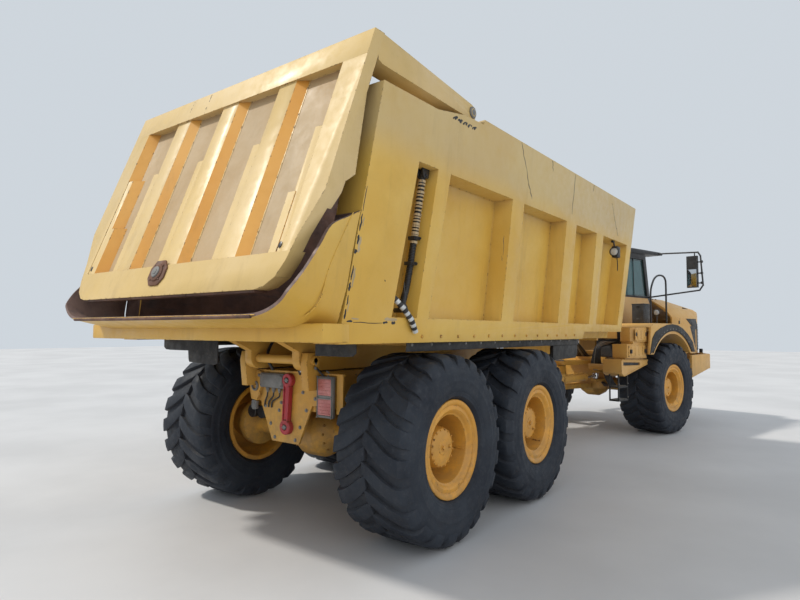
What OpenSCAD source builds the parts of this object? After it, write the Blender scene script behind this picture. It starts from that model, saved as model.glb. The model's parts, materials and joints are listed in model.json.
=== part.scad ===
/* [Wheels] */
// Outer diameter of each tyre over its lugs, mm
tyre_od = 1700; // [1500:10:1900]
// Width of each tyre, mm
tyre_w = 775; // [600:5:850]
// Radius of the rim's outer flange, mm
rim_r = 440; // [380:5:480]
// Distance between the wheel centres of one axle, mm
track = 2625; // [2300:5:2800]
// Distance between the two rear axles, mm
bogie_base = 1820; // [1600:10:2100]

/* [Articulation] */
// Steering hinge ahead of the rear axle, mm
hitch_x = 6500; // [5500:10:7000]
// Steering angle of the front unit in the rest pose, degrees
steer_rest = -11; // [-45:1:45]
// Front axle ahead of the steering hinge, mm
axle_ahead = 1278; // [1000:1:1500]

/* [Load body] */
// Top edge of the body's sides above the ground, mm
body_top = 3950; // [3300:10:4200]
// Underside of the body's side rail above the ground, mm
rail_z = 1800; // [1700:10:2000]
// Half width of the body's outer side at the rail, mm
side_w = 1530; // [1400:5:1600]
// Outward lean of the sides, mm per mm of height
side_lean = 0.093; // [0:0.001:0.2]
// Depth of the ribs outside the side sheet, mm
rib_d = 220; // [80:5:300]
// Thickness of the side sheet, mm
sheet_t = 40; // [20:1:60]
// Front wall position at the floor, mm
front_x = 5310; // [4500:10:5600]
// Front wall position at the top, mm
front_top_x = 5570; // [4500:10:5800]
// Tipping hinge behind the rear axle, mm
tip_back = 600; // [400:10:900]
// Tipping hinge above the ground, mm
tip_z = 1620; // [1500:10:1700]

/* [Tailgate] */
// How far the gate's edge lies outside the body's side at the rail, mm
gate_reach = 130; // [60:5:200]
// Hinge of the gate's arms, mm ahead of the rear axle
gate_pin_x = 330; // [0:10:600]
// Hinge of the gate's arms above the ground, mm
gate_pin_z = 4000; // [3700:10:4200]

/* [Cylinders] */
// Lower pin of the tipping cylinders ahead of the rear axle, mm
hoist_a_x = 600; // [400:10:900]
// Lower pin of the tipping cylinders above the ground, mm
hoist_a_z = 720; // [650:10:900]
// Upper pin of the tipping cylinders ahead of the rear axle, mm
hoist_b_x = 2650; // [2300:10:3000]
// Upper pin of the tipping cylinders above the ground, mm
hoist_b_z = 1740; // [1650:10:1800]
// Sideways place of the tipping cylinders, mm
hoist_y = 700; // [600:5:800]

/* [Hidden] */
$fn = 48;
tyre_r = tyre_od / 2;
half_track = track / 2;
wheel_z = tyre_r;
gate_w = side_w + gate_reach;
// shift of the whole from the rear axle to the middle of its box
shift_x = -4412.7;
shift_y = 243.7;
yellow = [0.95, 0.68, 0.12];
dark = [0.12, 0.12, 0.13];
grey = [0.45, 0.46, 0.48];
brown = [0.35, 0.22, 0.15];
rubber = [0.09, 0.09, 0.10];
clear = [0.30, 0.55, 0.60, 0.55];
steel = [0.80, 0.81, 0.83];
red = [0.70, 0.10, 0.08];
// steering pins in the two units' own frames, from the hinge
st_a = [-1150, 480];
st_f = [500, 480];
st_z = 1050;
// hinge of the hood at its nose, and of the cab door at its rear edge
hood_pin = [4060, 1430];
door_pin = [1200, 815];

module at_origin() translate([shift_x, shift_y, 0]) children();
module front_unit() at_origin() translate([hitch_x, 0, 0]) rotate([0, 0, steer_rest]) children();
// side profile in x and z made as wide as y0 to y1
module prof(pts, y0, y1) translate([0, y1, 0]) rotate([90, 0, 0]) linear_extrude(y1 - y0) polygon(pts);
// cross section in y and z drawn from x0 to x1
module sect(pts, x0, x1) translate([x0, 0, 0]) rotate([90, 0, 90]) linear_extrude(x1 - x0) polygon(pts);
module xcyl(r, x0, x1, y, z) translate([x0, y, z]) rotate([0, 90, 0]) cylinder(r = r, h = x1 - x0);
module ycyl(r, y0, y1, x, z) translate([x, y1, z]) rotate([90, 0, 0]) cylinder(r = r, h = y1 - y0);
module zcyl(r, z0, z1, x, y) translate([x, y, z0]) cylinder(r = r, h = z1 - z0);
module box(x0, x1, y0, y1, z0, z1) translate([x0, y0, z0]) cube([x1 - x0, y1 - y0, z1 - z0]);
module both() { children(); mirror([0, 1, 0]) children(); }

// wheels, axis along y, outer side toward +y
lug_n = 22;
lug_h = 38;
lug_w = 165;
module tyre() color(rubber) rotate([-90, 0, 0]) {
    r = tyre_r - lug_h;
    w = tyre_w / 2;
    rotate_extrude($fn = 44) polygon([[rim_r - 25, 72 - w], [rim_r + 3, 72 - w], [rim_r + 35, 25 - w],
        [rim_r + 190, -w], [r - 70, 12 - w], [r, 75 - w], [r, w - 75], [r - 70, w - 12],
        [rim_r + 190, w], [rim_r + 35, w - 25], [rim_r + 3, w - 72], [rim_r - 25, w - 72]]);
    // chevron lugs, one row each side, half a step apart, cut to the tyre's crown
    intersection() {
        for (i = [0 : lug_n - 1])
            for (s = [-1, 1])
                rotate([0, 0, (i + (s > 0 ? 0.5 : 0)) * 360 / lug_n])
                    translate([r - 100, 0, 0]) rotate([0, 90, 0])
                        linear_extrude(180) polygon([[s * -20, 190], [s * 220, 20], [s * (w - 8), -30],
                            [s * (w - 8), -30 - lug_w], [s * 220, 20 - lug_w], [s * -20, 190 - lug_w]]);
        rotate_extrude($fn = 132) polygon([[r - 60, -w], [r - 20, -w], [tyre_r - 12, 40 - w], [tyre_r, 160 - w],
            [tyre_r, w - 160], [tyre_r - 12, w - 40], [r - 20, w], [r - 60, w]]);
    }
}
// deep dish with the planetary hub standing out of it
module rim() color(yellow) rotate([-90, 0, 0])
    rotate_extrude($fn = 40) polygon([[0, w_half() - 160], [150, w_half() - 160], [172, w_half() - 166],
        [190, w_half() - 235], [200, 60], [205, 25], [252, 25], [rim_r - 165, 60], [rim_r - 145, w_half() - 190],
        [rim_r - 140, w_half() - 105], [rim_r - 118, w_half() - 95], [rim_r - 88, w_half() - 66],
        [rim_r - 55, w_half() - 70], [rim_r - 42, w_half() - 55], [rim_r, w_half() - 55], [rim_r, w_half() - 71.7],
        [rim_r - 25.3, w_half() - 71.7], [rim_r - 25.3, 71.7 - w_half()], [rim_r, 71.7 - w_half()],
        [rim_r, 50 - w_half()], [rim_r - 50, 50 - w_half()], [rim_r - 60, 40 - w_half() + 60], [rim_r - 120, 0],
        [250, -20], [190, -60], [0, -60]]);
function w_half() = tyre_w / 2;
wheels = [
    // name, x, side, unit
    ["rear_left", 0, 1, 0], ["rear_right", 0, -1, 0],
    ["mid_left", bogie_base, 1, 0], ["mid_right", bogie_base, -1, 0],
    ["front_left", axle_ahead, 1, 1], ["front_right", axle_ahead, -1, 1]];
module place_wheel(i) {
    w = wheels[i];
    if (w[3] == 0) at_origin() translate([w[1], w[2] * half_track, wheel_z]) scale_side(w[2]) children();
    else front_unit() translate([w[1], w[2] * half_track, wheel_z]) scale_side(w[2]) children();
}
module scale_side(s) { if (s > 0) children(); else mirror([0, 1, 0]) children(); }

// rear unit
frame_y0 = 300;
frame_y1 = 400;
module rear_frame() color(yellow) at_origin() both() {
    box(-480, 4599.7, frame_y0, frame_y1, 1120, 1500);
    // rest pads under the body's beams
    box(3000, 3300, frame_y0, frame_y1, 1500, 1514);
}
// cross-members between the rails and the bogie's trunnion below them
members = [[-440, -360], [1900, 2000], [3300, 3400]];
module frame_members() color(yellow) at_origin() {
    for (m = members) box(m[0], m[1], 0.3 - frame_y0, frame_y0 - 0.3, 1180, 1460);
    ycyl(90, -429.7, 429.7, 910, 1029.7);
}
module hoist_mount() color(yellow) at_origin() {
    ycyl(60, -840, 840, hoist_a_x, hoist_a_z);
    both() difference() {
        prof([[470, 1119.7], [730, 1119.7], [670, 640], [530, 640]], frame_y0, frame_y1);
        ycyl(60.4, 300, 500, hoist_a_x, hoist_a_z);
    }
}
// neck, narrowing to the roll bearing
module neck() color(yellow) at_origin() {
    prof2d([[4800, -400], [4850, -400], [5150, -240], [5440, -240], [5700, -215], [5700, 215], [5440, 240], [5150, 240],
        [4850, 400], [4800, 400]], 900, 1300);
    prof([[4600, 1100], [4850, 900], [4850, 1500], [4600, 1500]], -frame_y1, frame_y1);
    prof([[4840, 1290], [5350, 1290], [4840, 1500]], -200, 200);
}
// tail plate, hinge plates with the body's pin and the lamp bracket
module tail_frame() color(yellow) at_origin() {
    both() prof([[-660, 1340], [-480.3, 1340], [-480.3, 1480], [-520, 1500], [-530, 1690], [-670, 1690], [-690, 1600]],
        frame_y1 + 5, 490);
    box(-520, -480.3, -790, 500, 1480, 1500);
    prof([[-520, 1500], [-500, 1500], [-500, 1130], [-520, 1130]], -790, -710);
    ycyl(45, -520, 520, -tip_back, tip_z);
    sect([[-480, 1500], [480, 1500], [480, 1190], [375, 1175], [195, 790], [-195, 790], [-375, 1175], [-480, 1190]],
        -505, -480.3);
    // eye bracket left of the plate
    difference() {
        sect([[330, 1478], [475, 1478], [478, 1190], [395, 1180], [330, 1330]], -545, -505);
        xcyl(32, -560, -530, 420, 1330);
    }
}
module hitch() color(yellow) at_origin() translate([hitch_x, 0, 0]) {
    xcyl(200, -799.7, -320, 0, st_z + 30);
    xcyl(240, -640, -560, 0, st_z + 30);
    difference() {
        union() {
            box(-330, -40, -110, 110, 880, 1240);
            zcyl(120, 880, 1240, 0, 0);
        }
        zcyl(60.4, 800, 1300, 0, 0);
    }
    both() {
        box(-1230, -1070, 240.3, 540, st_z - 105, st_z - 71);
        box(-1230, -1070, 240.3, 540, st_z + 71, st_z + 105);
        box(-1230, -1070, 240.3, 270, st_z - 105, st_z + 105);
        zcyl(34.5, st_z - 105, st_z + 105, st_a[0], st_a[1]);
    }
}
// one axle with its hubs and differential, turned in one piece
module axle() {
    e = half_track - 60.4;
    rotate([-90, 0, 0]) rotate_extrude() polygon([[0, -e], [190, -e], [190, -1040], [260, -1040], [260, -960],
        [125, -930], [125, -300], [200, -230], [265, -110], [265, 110], [200, 230], [125, 300], [125, 930],
        [260, 960], [260, 1040], [190, 1040], [190, e], [0, e]]);
}
module bogie() color(yellow) at_origin() {
    for (x = [0, bogie_base]) {
        translate([x, 0, wheel_z]) axle();
        xcyl(110, x + 150, x + 380, 0, wheel_z + 60);
    }
    both() prof([[-180, 760], [-110, 690], [160, 690], [700, 830], [1120, 830], [1660, 690], [1930, 690],
        [2000, 760], [2000, 940], [1930, 1010], [1700, 1010], [1120, 1000], [910, 1150], [700, 1000],
        [120, 1010], [-110, 1010], [-180, 940]], 430, 560);
}
module tail_lamps() color(grey) at_origin()
    box(-560, -520.3, -700, -490.3, 1090, 1475);
module tow_link() color(red) at_origin() difference() {
    union() {
        xcyl(70, -560, -505.3, -70, 1410);
        xcyl(75, -560, -505.3, -45, 950);
        sect([[-115, 1410], [-25, 1410], [-5, 950], [-85, 950]], -560, -505.3);
    }
    xcyl(25, -600, -400, -45, 950);
}

// load body, moves about the tipping hinge
function sy(w, z) = w + side_lean * (z - 1800);
module band(w0, w1) sect([[sy(w0, 1700), 1700], [sy(w1, 1700), 1700], [sy(w1, 4300), 4300],
    [sy(w0, 4300), 4300]], -2600, 6400);
wall_out = side_w - rib_d;
wall_in = wall_out - sheet_t;
module bed_floor() color(yellow) at_origin() intersection() {
    prof([[front_x - 62, 1840], [front_x - 62, 1900], [-1370, 1900], [-1370, 1840]], -2000, 2000);
    sect([[0.3 - wall_in, 1800], [wall_in - 0.3, 1800], [wall_in + 9, 1910], [-9 - wall_in, 1910]], -2600, 6400);
}
module bed_frame() color(yellow) at_origin() {
    both() difference() {
        union() {
            box(-tip_back, 5100, frame_y0, frame_y1, 1514.3, 1839.7);
            ycyl(100, frame_y0, frame_y1, -tip_back, tip_z);
            prof([[-tip_back - 100, tip_z], [-tip_back - 100, 1700], [-tip_back - 400, 1839.7], [-tip_back, 1839.7],
                [-tip_back, tip_z]], frame_y0, frame_y1);
        }
        ycyl(45.5, 200, 500, -tip_back, tip_z);
    }
    for (x = [-100, 900, 1900, 2900, 3900, 4900]) prof([[x, 1839.7], [x + 100, 1839.7], [x + 80, 1760], [x + 20, 1760]],
        -wall_in + 1, wall_in - 1);
    both() difference() {
        union() {
            prof(ear(hoist_b_x), hoist_y - 100, hoist_y - 65);
            prof(ear(hoist_b_x), hoist_y + 65, hoist_y + 100);
        }
        ycyl(35, 500, 900, hoist_b_x, hoist_b_z);
    }
}
function ear(x) = [[x - 130, 1839.7], [x - 60, 1680], [x + 60, 1680], [x + 130, 1839.7]];
// turned-up tail with its flared wings and the beam below it
chute_front = [[1330, 1855], [1385, 1858], [1462, 1890], [1522, 1960], [1545, 2072]];
chute_rear = [[1290, 1985], [1340, 1988], [1402, 2008], [1454, 2058], [1490, 2140]];
chute_t = [[0, 36], [0, 36], [-18, 31], [-27, 18], [-30, 2]];
module bed_chute() color(yellow) at_origin() {
    prof([[-1372, 1855], [-1960, 1985], [-1970, 2021], [-1372, 1925]], -1340, 1340);
    box(-1640, -1370.3, -1640, 1640, 1815, 1950);
    both() {
        for (i = [0 : 3]) hull() {
            sect(corner(chute_front, i), -1373, -1371);
            sect(corner(chute_rear, i), -1966 + i * 14, -1964 + i * 14);
        }
        intersection() {
            prof([[-1372, 2040], [-1338, 2062], [-1234, 2795], [-1560, 2634], [-1765, 2340], [-1905, 2110]], 1000, 2000);
            translate([-1250, side_w, 1800]) rotate([0, 0, -6.1]) rotate([-atan(side_lean), 0, 0])
                translate([-900, -25, 100]) cube([1000, 25, 1500]);
        }
    }
}
function corner(c, i) = [c[i], c[i + 1], c[i + 1] + chute_t[i + 1], c[i] + chute_t[i]];
ribs = [
    // rear edge top, front edge top, rear edge bottom, front edge bottom
    [-270, -70, -430, -250], [1160, 1440, 1110, 1390], [2680, 3020, 2640, 2980], [3810, 4100, 3780, 4070]];
side_top = [[-1087, gate_pin_z - 190], [-350, gate_pin_z - 190], [100, gate_pin_z - 110], [440, gate_pin_z - 100], [450, body_top],
    [front_top_x, body_top]];
module bed_side() {
    intersection() {
        prof(concat([[-1350, 1970], [-1370, 1800]], [[front_x, 1800]], [for (i = [5 : -1 : 0]) side_top[i]]), 0, 3000);
        band(wall_in, wall_out);
    }
    intersection() {
        union() {
            prof(concat(side_top, [[front_top_x - 80, 3310], [-560, 3310], [-790, 1900], [-790, 1800], [-1370, 1800],
                [-1350, 1970]]), 0, 3000);
            prof([[-800, 1800], [3570, 1800], [3620, 1900], [front_x, 1900], [front_x, 2010], [-800, 2010]], 0, 3000);
            prof([[front_x - 220, 1990], [front_x + 10, 1990], [front_top_x - 80, 3330],
                [front_top_x - 320, 3330]], 0, 3000);
            for (r = ribs) prof([[r[2], 2000], [r[3], 2000], [r[1], 3320], [r[0], 3320]], 0, 3000);
        }
        band(wall_out - 5, side_w);
    }
    // lug and pin that carry the gate's arm
    prof([[200, gate_pin_z - 200], [460, gate_pin_z - 200], [400, gate_pin_z + 70], [260, gate_pin_z + 70]], gate_w - 260, gate_w - 210);
    box(200, 440, gate_w - 260, gate_w - 160, gate_pin_z - 200, gate_pin_z - 120);
    ycyl(38, gate_w - 260, gate_w + 15, gate_pin_x, gate_pin_z);
}
module bed_front_wall() color(yellow) at_origin() difference() {
    union() {
        prof([[front_x - 61.5, 1840], [front_x, 1840], [front_top_x + 5, 4010], [front_top_x - 55, 4010]], -1440, 1440);
        for (y = [-1000, 0, 1000])
            prof([[front_x, 1850], [front_x + 60, 1905], [front_top_x + 60, body_top], [front_top_x - 5, body_top]], y - 60, y + 60);
        prof([[front_top_x - 75, body_top - 200], [front_top_x + 40, body_top - 160], [front_top_x + 65, 4010],
            [front_top_x - 55, 4010]], -1440, 1440);
    }
    both() band(wall_in - 0.3, 3000);
}
module bed_flaps() color(rubber) at_origin() {
    sect([[425, 1839.7], [425, 1580], [480, 1560], [900, 1575], [915, 1600], [925, 1690], [1264, 1690], [1264, 1839.7]],
        -1010, -995);
    sect([[-925, 1839.7], [-925, 1690], [-1264, 1690], [-1264, 1839.7]], -1010, -995);
    both() sect([[1264, 1799.7], [1264, 1690], [1340, 1695], [1376, 1720], [1376, 1799.7]], -1010, -995);
    both() intersection() {
        box(-470, 3560, 1300, 1700, 1722, 1799.7);
        band(side_w - 60, side_w - 48);
    }
}
module gate_cables() color(dark) at_origin() both() {
    intersection() {
        prof([[-455, 2010.3], [-445, 2010.3], [-330, 3309.7], [-380, 3309.7], [-460, 2700], [-560, 2300]], 1300, 1800);
        band(side_w - 120, side_w - 80);
    }
}
module work_lamps() color(dark) at_origin() both() {
    intersection() {
        box(4540, 4680, 1300, 1900, 3060, 3200);
        band(side_w - 40, side_w + 50);
    }
    intersection() {
        box(4595, 4625, 1300, 1900, 3190, 3309.7);
        band(side_w - 60, side_w - 20);
    }
}

// gate, moves about its arms' pins
function gx(z) = -1130 - (4220 - z) * 0.3836;
function gband(h0, h1, z0, z1) = [[gx(z1) + h0, z1], [gx(z0) + h0, z0], [gx(z0) + h1, z0], [gx(z1) + h1, z1]];
gate_ribs = [[-870, -660], [-100, 130], [660, 880]];
gate_edge = [[-20, 4300], [-20, 2917.7], [130, 2560], [180, 2370], [235, 2260], [330, 2195], [420, 2178]];
module tailgate() color(yellow) at_origin() {
    intersection() {
        union() {
            prof(gband(85, 115, 2190, 4220), -gate_w, gate_w);
            prof(gband(0, 115, 3985, 4220), -gate_w, gate_w);
            prof(gband(0, 140, 2178, 2440), -gate_w, gate_w);
            for (r = gate_ribs) {
                prof(gband(20, 100, 2400, 4000), r[0], r[1]);
                prof(gband(26, 100, 2400, 3440), r[0] + 40, r[1] + 90);
            }
            both() {
                prof(gband(0, 115, 2178, 4220), gate_w - 250, gate_w);
                prof(gband(6, 100, 2400, 3430), gate_w - 330, gate_w - 210);
                prof([[gx(2900), 2900], [gx(2430), 2430], [gx(2430) + 100, 2430], [gx(2900) + 100, 2900]], gate_w - 390, gate_w - 310);
                prof([[gx(4220), 4220], [gx(2178), 2178], [gx(2178) + 140, 2178], [gx(2560) + 140, 2560], [gx(2960) + 165, 2960],
                    [gx(3030) + 240, 3030], [gx(3700) + 110, 3700], [gx(4200) + 110, 4200], [gx(4220), 4220]], gate_w - 50, gate_w);
            }
        }
        sect(concat([for (e = gate_edge) [e[0] - gate_w, e[1]]], [for (i = [6 : -1 : 0]) [gate_w - gate_edge[i][0], gate_edge[i][1]]]),
            -2600, 0);
    }
    both() difference() {
        prof([[-1100, 4220], [-1090, 3985], [-1040, 3965], [gate_pin_x - 30, gate_pin_z - 74], [gate_pin_x + 40, gate_pin_z - 66],
            [gate_pin_x + 72, gate_pin_z], [gate_pin_x + 50, gate_pin_z + 58], [gate_pin_x - 20, gate_pin_z + 76]],
            gate_w - 200, gate_w);
        ycyl(38.5, gate_w - 300, gate_w + 100, gate_pin_x, gate_pin_z);
    }
}

// tipping cylinders, drawn along x from the lower pin
hoist_len = norm([hoist_b_x - hoist_a_x, hoist_b_z - hoist_a_z]);
hoist_ang = atan2(hoist_b_z - hoist_a_z, hoist_b_x - hoist_a_x);
module hoist_place(s) at_origin() translate([hoist_a_x, s * hoist_y, hoist_a_z]) rotate([0, -hoist_ang, 0]) children();
module hoist_barrel(s) color(yellow) hoist_place(s) difference() {
    union() {
        ycyl(105, -60, 60, 0, 0);
        xcyl(95, 60, 1950, 0, 0);
    }
    ycyl(60.5, -100, 100, 0, 0);
    xcyl(61, 140, 1900, 0, 0);
    xcyl(55.5, 1800, 2000, 0, 0);
}
module hoist_rod(s) color(steel) hoist_place(s) difference() {
    union() {
        xcyl(55, 160, hoist_len - 50, 0, 0);
        ycyl(80, -55, 55, hoist_len, 0);
    }
    ycyl(40, -100, 100, hoist_len, 0);
}
// steering cylinders in the rear unit's frame, from the rear pin to the front one
function rot2(p, a) = [p[0] * cos(a) - p[1] * sin(a), p[0] * sin(a) + p[1] * cos(a)];
module steer_place(s) {
    f = rot2([st_f[0], s * st_f[1]], steer_rest);
    d = f - [st_a[0], s * st_a[1]];
    at_origin() translate([hitch_x + st_a[0], s * st_a[1], st_z]) rotate([0, 0, atan2(d[1], d[0])]) children();
}
function steer_len(s) = norm(rot2([st_f[0], s * st_f[1]], steer_rest) - [st_a[0], s * st_a[1]]);
module steer_barrel(s) color(yellow) steer_place(s) difference() {
    union() {
        zcyl(65, -65, 65, 0, 0);
        xcyl(62, 40, 1040, 0, 0);
    }
    zcyl(35, -100, 100, 0, 0);
    xcyl(37, 90, 1010, 0, 0);
    xcyl(31.5, 1000, 1100, 0, 0);
}
module steer_rod(s) color(steel) steer_place(s) difference() {
    union() {
        xcyl(31, steer_len(s) - 1080, steer_len(s) - 40, 0, 0);
        zcyl(55, -50, 50, steer_len(s), 0);
    }
    zcyl(30, -100, 100, steer_len(s), 0);
}

// front unit, x from the steering hinge
module front_frame() color(yellow) front_unit() {
    both() {
        box(740, 4139.7, 330, 430, 1050, 1400);
        // cab mounts
        box(880, 1000, 330, 430, 1390, 1749.7);
        box(2080, 2180, 330, 430, 1390, 1749.7);
        box(2900, 3100, 330, 430, 1390, 1399.7);
        // hood hinge posts
        prof([[4032, 1380], [4110, 1380], [4085, 1450], [4035, 1450]], 340, 420);
    }
    ycyl(20, -777, 777, hood_pin[0], hood_pin[1]);
    difference() {
        union() {
            for (z = [[1250, 1330], [790, 870]]) {
                zcyl(150, z[0], z[1], 0, 0);
                prof2d([[0, -150], [760, -260], [760, 260], [0, 150]], z[0], z[1]);
            }
            both() for (z = [[st_z + 65, st_z + 105], [st_z - 105, st_z - 65]])
                prof2d([[430, 420], [560, 420], [760, 330], [760, 560], [560, 560], [430, 540]], z[0], z[1]);
        }
        both() zcyl(30, 800, 1400, st_f[0], st_f[1]);
    }
    zcyl(60, 790, 1330, 0, 0);
    box(740, 820, -560, 560, 780, 1400);
    box(4000, 4139.7, -340, 340, 1050, 1390);
    // towing jaw below the bumper
    difference() {
        prof2d([[4100, -130], [4200, -130], [4290, -60], [4290, 60], [4200, 130], [4100, 130]], 1060, 1120);
        zcyl(30, 1000, 1200, 4220, 0);
    }
    box(1900, 2000, -340, 340, 1120, 1300);
    prof([[810, 790], [1000, 1050], [1000, 1400], [810, 1400]], 330, 430);
    prof([[810, 790], [1000, 1050], [1000, 1400], [810, 1400]], -430, -330);
}
module prof2d(pts, z0, z1) translate([0, 0, z0]) linear_extrude(z1 - z0) polygon(pts);
module front_axle() color(yellow) front_unit() {
    translate([axle_ahead, 0, wheel_z]) axle();
    both() box(axle_ahead - 100, axle_ahead + 100, 330, 430, 900, 1049.7);
}
module engine_block() color(grey) front_unit() box(2750, 3900, -450, 450, 1400.3, 2050);

cab_side = [[800, 1750], [800, 3160], [920, 3520], [1990, 3535], [2160, 2630], [2240, 2560], [2240, 1750]];
cab_in = [[860, 1810], [860, 3150], [960, 3465], [1940, 3475], [2105, 2620], [2180, 2560], [2180, 1810]];
side_win = [[960, 2630], [960, 3130], [1040, 3400], [1880, 3410], [2030, 2690], [2030, 2630]];
module cab_shell() color(dark) front_unit() {
    difference() {
        union() {
            prof(cab_side, -800, 800);
            prof([[860, 3490], [890, 3570], [1400, 3600], [2640, 3618], [2725, 3590], [2700, 3560], [2000, 3520]], -830, 830);
        }
        prof(cab_in, -745, 745);
        // right window, door opening, windscreen, rear window
        prof(side_win, -840, -700);
        prof([[1200, 2064], [1200, 3400], [1880, 3410], [2020, 2640], [2020, 2064]], 700, 801);
        box(1930, 2400, -690, 690, 2700, 3400);
        box(700, 900, -620, 620, 2500, 3150);
    }
    // door hinges
    for (z = [2180, 3130]) {
        zcyl(7, z, z + 120, door_pin[0], door_pin[1]);
        for (k = [z, z + 85]) {
            zcyl(14, k, k + 35, door_pin[0], door_pin[1]);
            box(1140, 1200, 799, 827, k, k + 35);
        }
    }
}
module cab_glass() color(clear) front_unit() {
    intersection() {
        prof([[1955, 3460], [1975, 3460], [2138, 2650], [2118, 2650]], -690, 690);
        box(1900, 2700, -689.7, 689.7, 2700.3, 3399.7);
    }
    intersection() {
        prof(side_win, -780, -768);
        box(960.3, 2029.7, -790, -700, 2630.3, 3409);
    }
    box(820, 832, -619.7, 619.7, 2500.3, 3149.7);
}
module cab_interior() color(dark) front_unit() {
    box(1150, 1700, -260, 260, 1810.3, 2150);
    prof([[1150, 2140], [1300, 2140], [1230, 2950], [1080, 2950]], -250, 250);
    prof([[2179.7, 1810.3], [2179.7, 2540], [2020, 2520], [1960, 2300], [1910, 1810.3]], -700, 700);
}
module cab_door() color(yellow) front_unit() {
    difference() {
        prof([[1208, 2072], [1208, 3392], [1872, 3402], [2010, 2642], [2010, 2072]], 750, 800);
        prof([[1290, 2500], [1290, 3320], [1810, 3330], [1930, 2640], [1930, 2500]], 700, 900);
    }
    for (z = [2216, 3166]) difference() {
        union() {
            zcyl(14, z, z + 48, door_pin[0], door_pin[1]);
            box(1206, 1280, 799, 812, z, z + 48);
        }
        zcyl(7.5, z - 5, z + 60, door_pin[0], door_pin[1]);
    }
}
module door_glass() color(clear) front_unit()
    prof([[1290.3, 2500.3], [1290.3, 3319.7], [1809.7, 3329.7], [1929.7, 2640], [1929.7, 2500.3]], 770, 782);
arch_r = 1010;
module fenders() color(yellow) front_unit() both() {
    difference() {
        union() {
            intersection() {
                ycyl(arch_r + 45, 960, 1640, axle_ahead, 860);
                prof([[300, 1500], [2280, 1500], [2280, 2200], [300, 2200]], 900, 1700);
            }
            prof([[330, 1500], [400, 1990], [520, 2060], [2050, 2060], [2330, 1560], [2310, 1480]], 1600, 1640);
            prof([[400, 1990], [520, 2060], [2050, 2060], [2075, 2015], [540, 2015], [420, 1950]], 960, 1640);
        }
        ycyl(arch_r, 900, 1700, axle_ahead, 860);
    }
    // deck between fender and cab
    box(700, 2290, 800.3, 970, 2015, 2060);
}
module side_boxes() color(yellow) front_unit() both() {
    difference() {
        prof([[-420, 1190], [-420, 1425], [540, 1400], [520, 1318], [-340, 1135]], 1150, 1500);
        prof([[-360, 1320], [250, 1305], [250, 1355], [-360, 1378]], 1470, 1600);
    }
    prof([[-300, 1448], [420, 1426], [420, 1675], [-300, 1688]], 1270, 1540);
    // rear corner cut off to pass the load body at full lock
    intersection() {
        prof([[-75, 1728], [390, 1724], [390, 1984], [-75, 1977]], 1300, 1560);
        prof2d([[-75, 1300], [-75, 1480], [10, 1560], [390, 1560], [390, 1300]], 1700, 2000);
    }
    box(-60, 375, 1310, 1530, 1670, 1735);
    box(-280, 400, 1280, 1490, 1390, 1455);
    box(100, 280, 560.3, 1200, 1200, 1300);
    box(100, 900, 560.3, 640, 1200, 1300);
    box(740, 820, 560.3, 640, 1200, 1300);
}
module air_box() color(dark) front_unit() box(845, 1103, -1300, -1060, 2060.3, 2430);
module access_steps() color(dark) front_unit() both() {
    box(-400, -70, 1250, 1430, 700, 725);
    box(-400, -70, 1250, 1430, 930, 955);
    for (p = [[-400, 1162.2], [-90, 1187.9]]) {
        box(p[0], p[0] + 20, 1250, 1270, 710, p[1]);
        box(p[0], p[0] + 20, 1410, 1430, 710, p[1]);
    }
}
module both_x(a, b) {
    translate([a, 0, 0]) children();
    translate([b, 0, 0]) children();
}
rail_pts = [[1345, -1200, 2060.3], [1345, -1200, 2700], [1520, -1200, 2960], [1790, -1200, 3050], [2030, -1200, 2980],
    [2030, -1200, 2060.3]];
module handrails() color(dark) front_unit()
    for (i = [0 : 4]) {
        beam(rail_pts[i], rail_pts[i + 1], 18);
        if (i < 4) translate(rail_pts[i + 1]) sphere(r = 21, $fn = 16);
    }
// round bar between two points
module beam(a, b, r) {
    d = b - a;
    l = norm(d);
    translate(a) rotate([0, acos(d[2] / l), atan2(d[1], d[0])]) cylinder(r = r, h = l, $fn = 16);
}
mirror_pts = [[2560, 832.4, 3585], [2470, 1670, 3530], [2450, 1725, 3450], [2450, 1765, 2850], [2440, 1700, 2750],
    [2062, 807, 2620]];
module mirrors() color(dark) front_unit() both() {
    for (i = [0 : 4]) beam(mirror_pts[i], mirror_pts[i + 1], 16);
    for (i = [1 : 4]) translate(mirror_pts[i]) sphere(r = 18, $fn = 16);
    box(2440, 2505, 1450, 1660, 2810, 3460);
    zcyl(11, 3450, 3530, 2478, 1600);
}
module bumper() color(yellow) front_unit() intersection() {
    prof2d([[2500, 1500], [3430, 1500], [3980, 1150], [4230, 750], [4300, 0], [4230, -750], [3980, -1150],
        [3430, -1500], [2500, -1500], [2500, -1430], [3400, -1430], [3900, -1100], [4140, -700], [4140, 700],
        [3900, 1100], [3400, 1430], [2500, 1430]], 900, 1500);
    prof([[2500, 970], [2500, 1430], [3468, 1438], [4300, 1438], [4300, 1180], [3350, 1120]], -1600, 1600);
}
module grille() color(dark) front_unit() box(3990, 4030, -690, 690, 1400.3, 1990);
module headlamps() color(steel) front_unit() both() box(3905, 3955, 1090, 1160, 1438.3, 1530);
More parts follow.
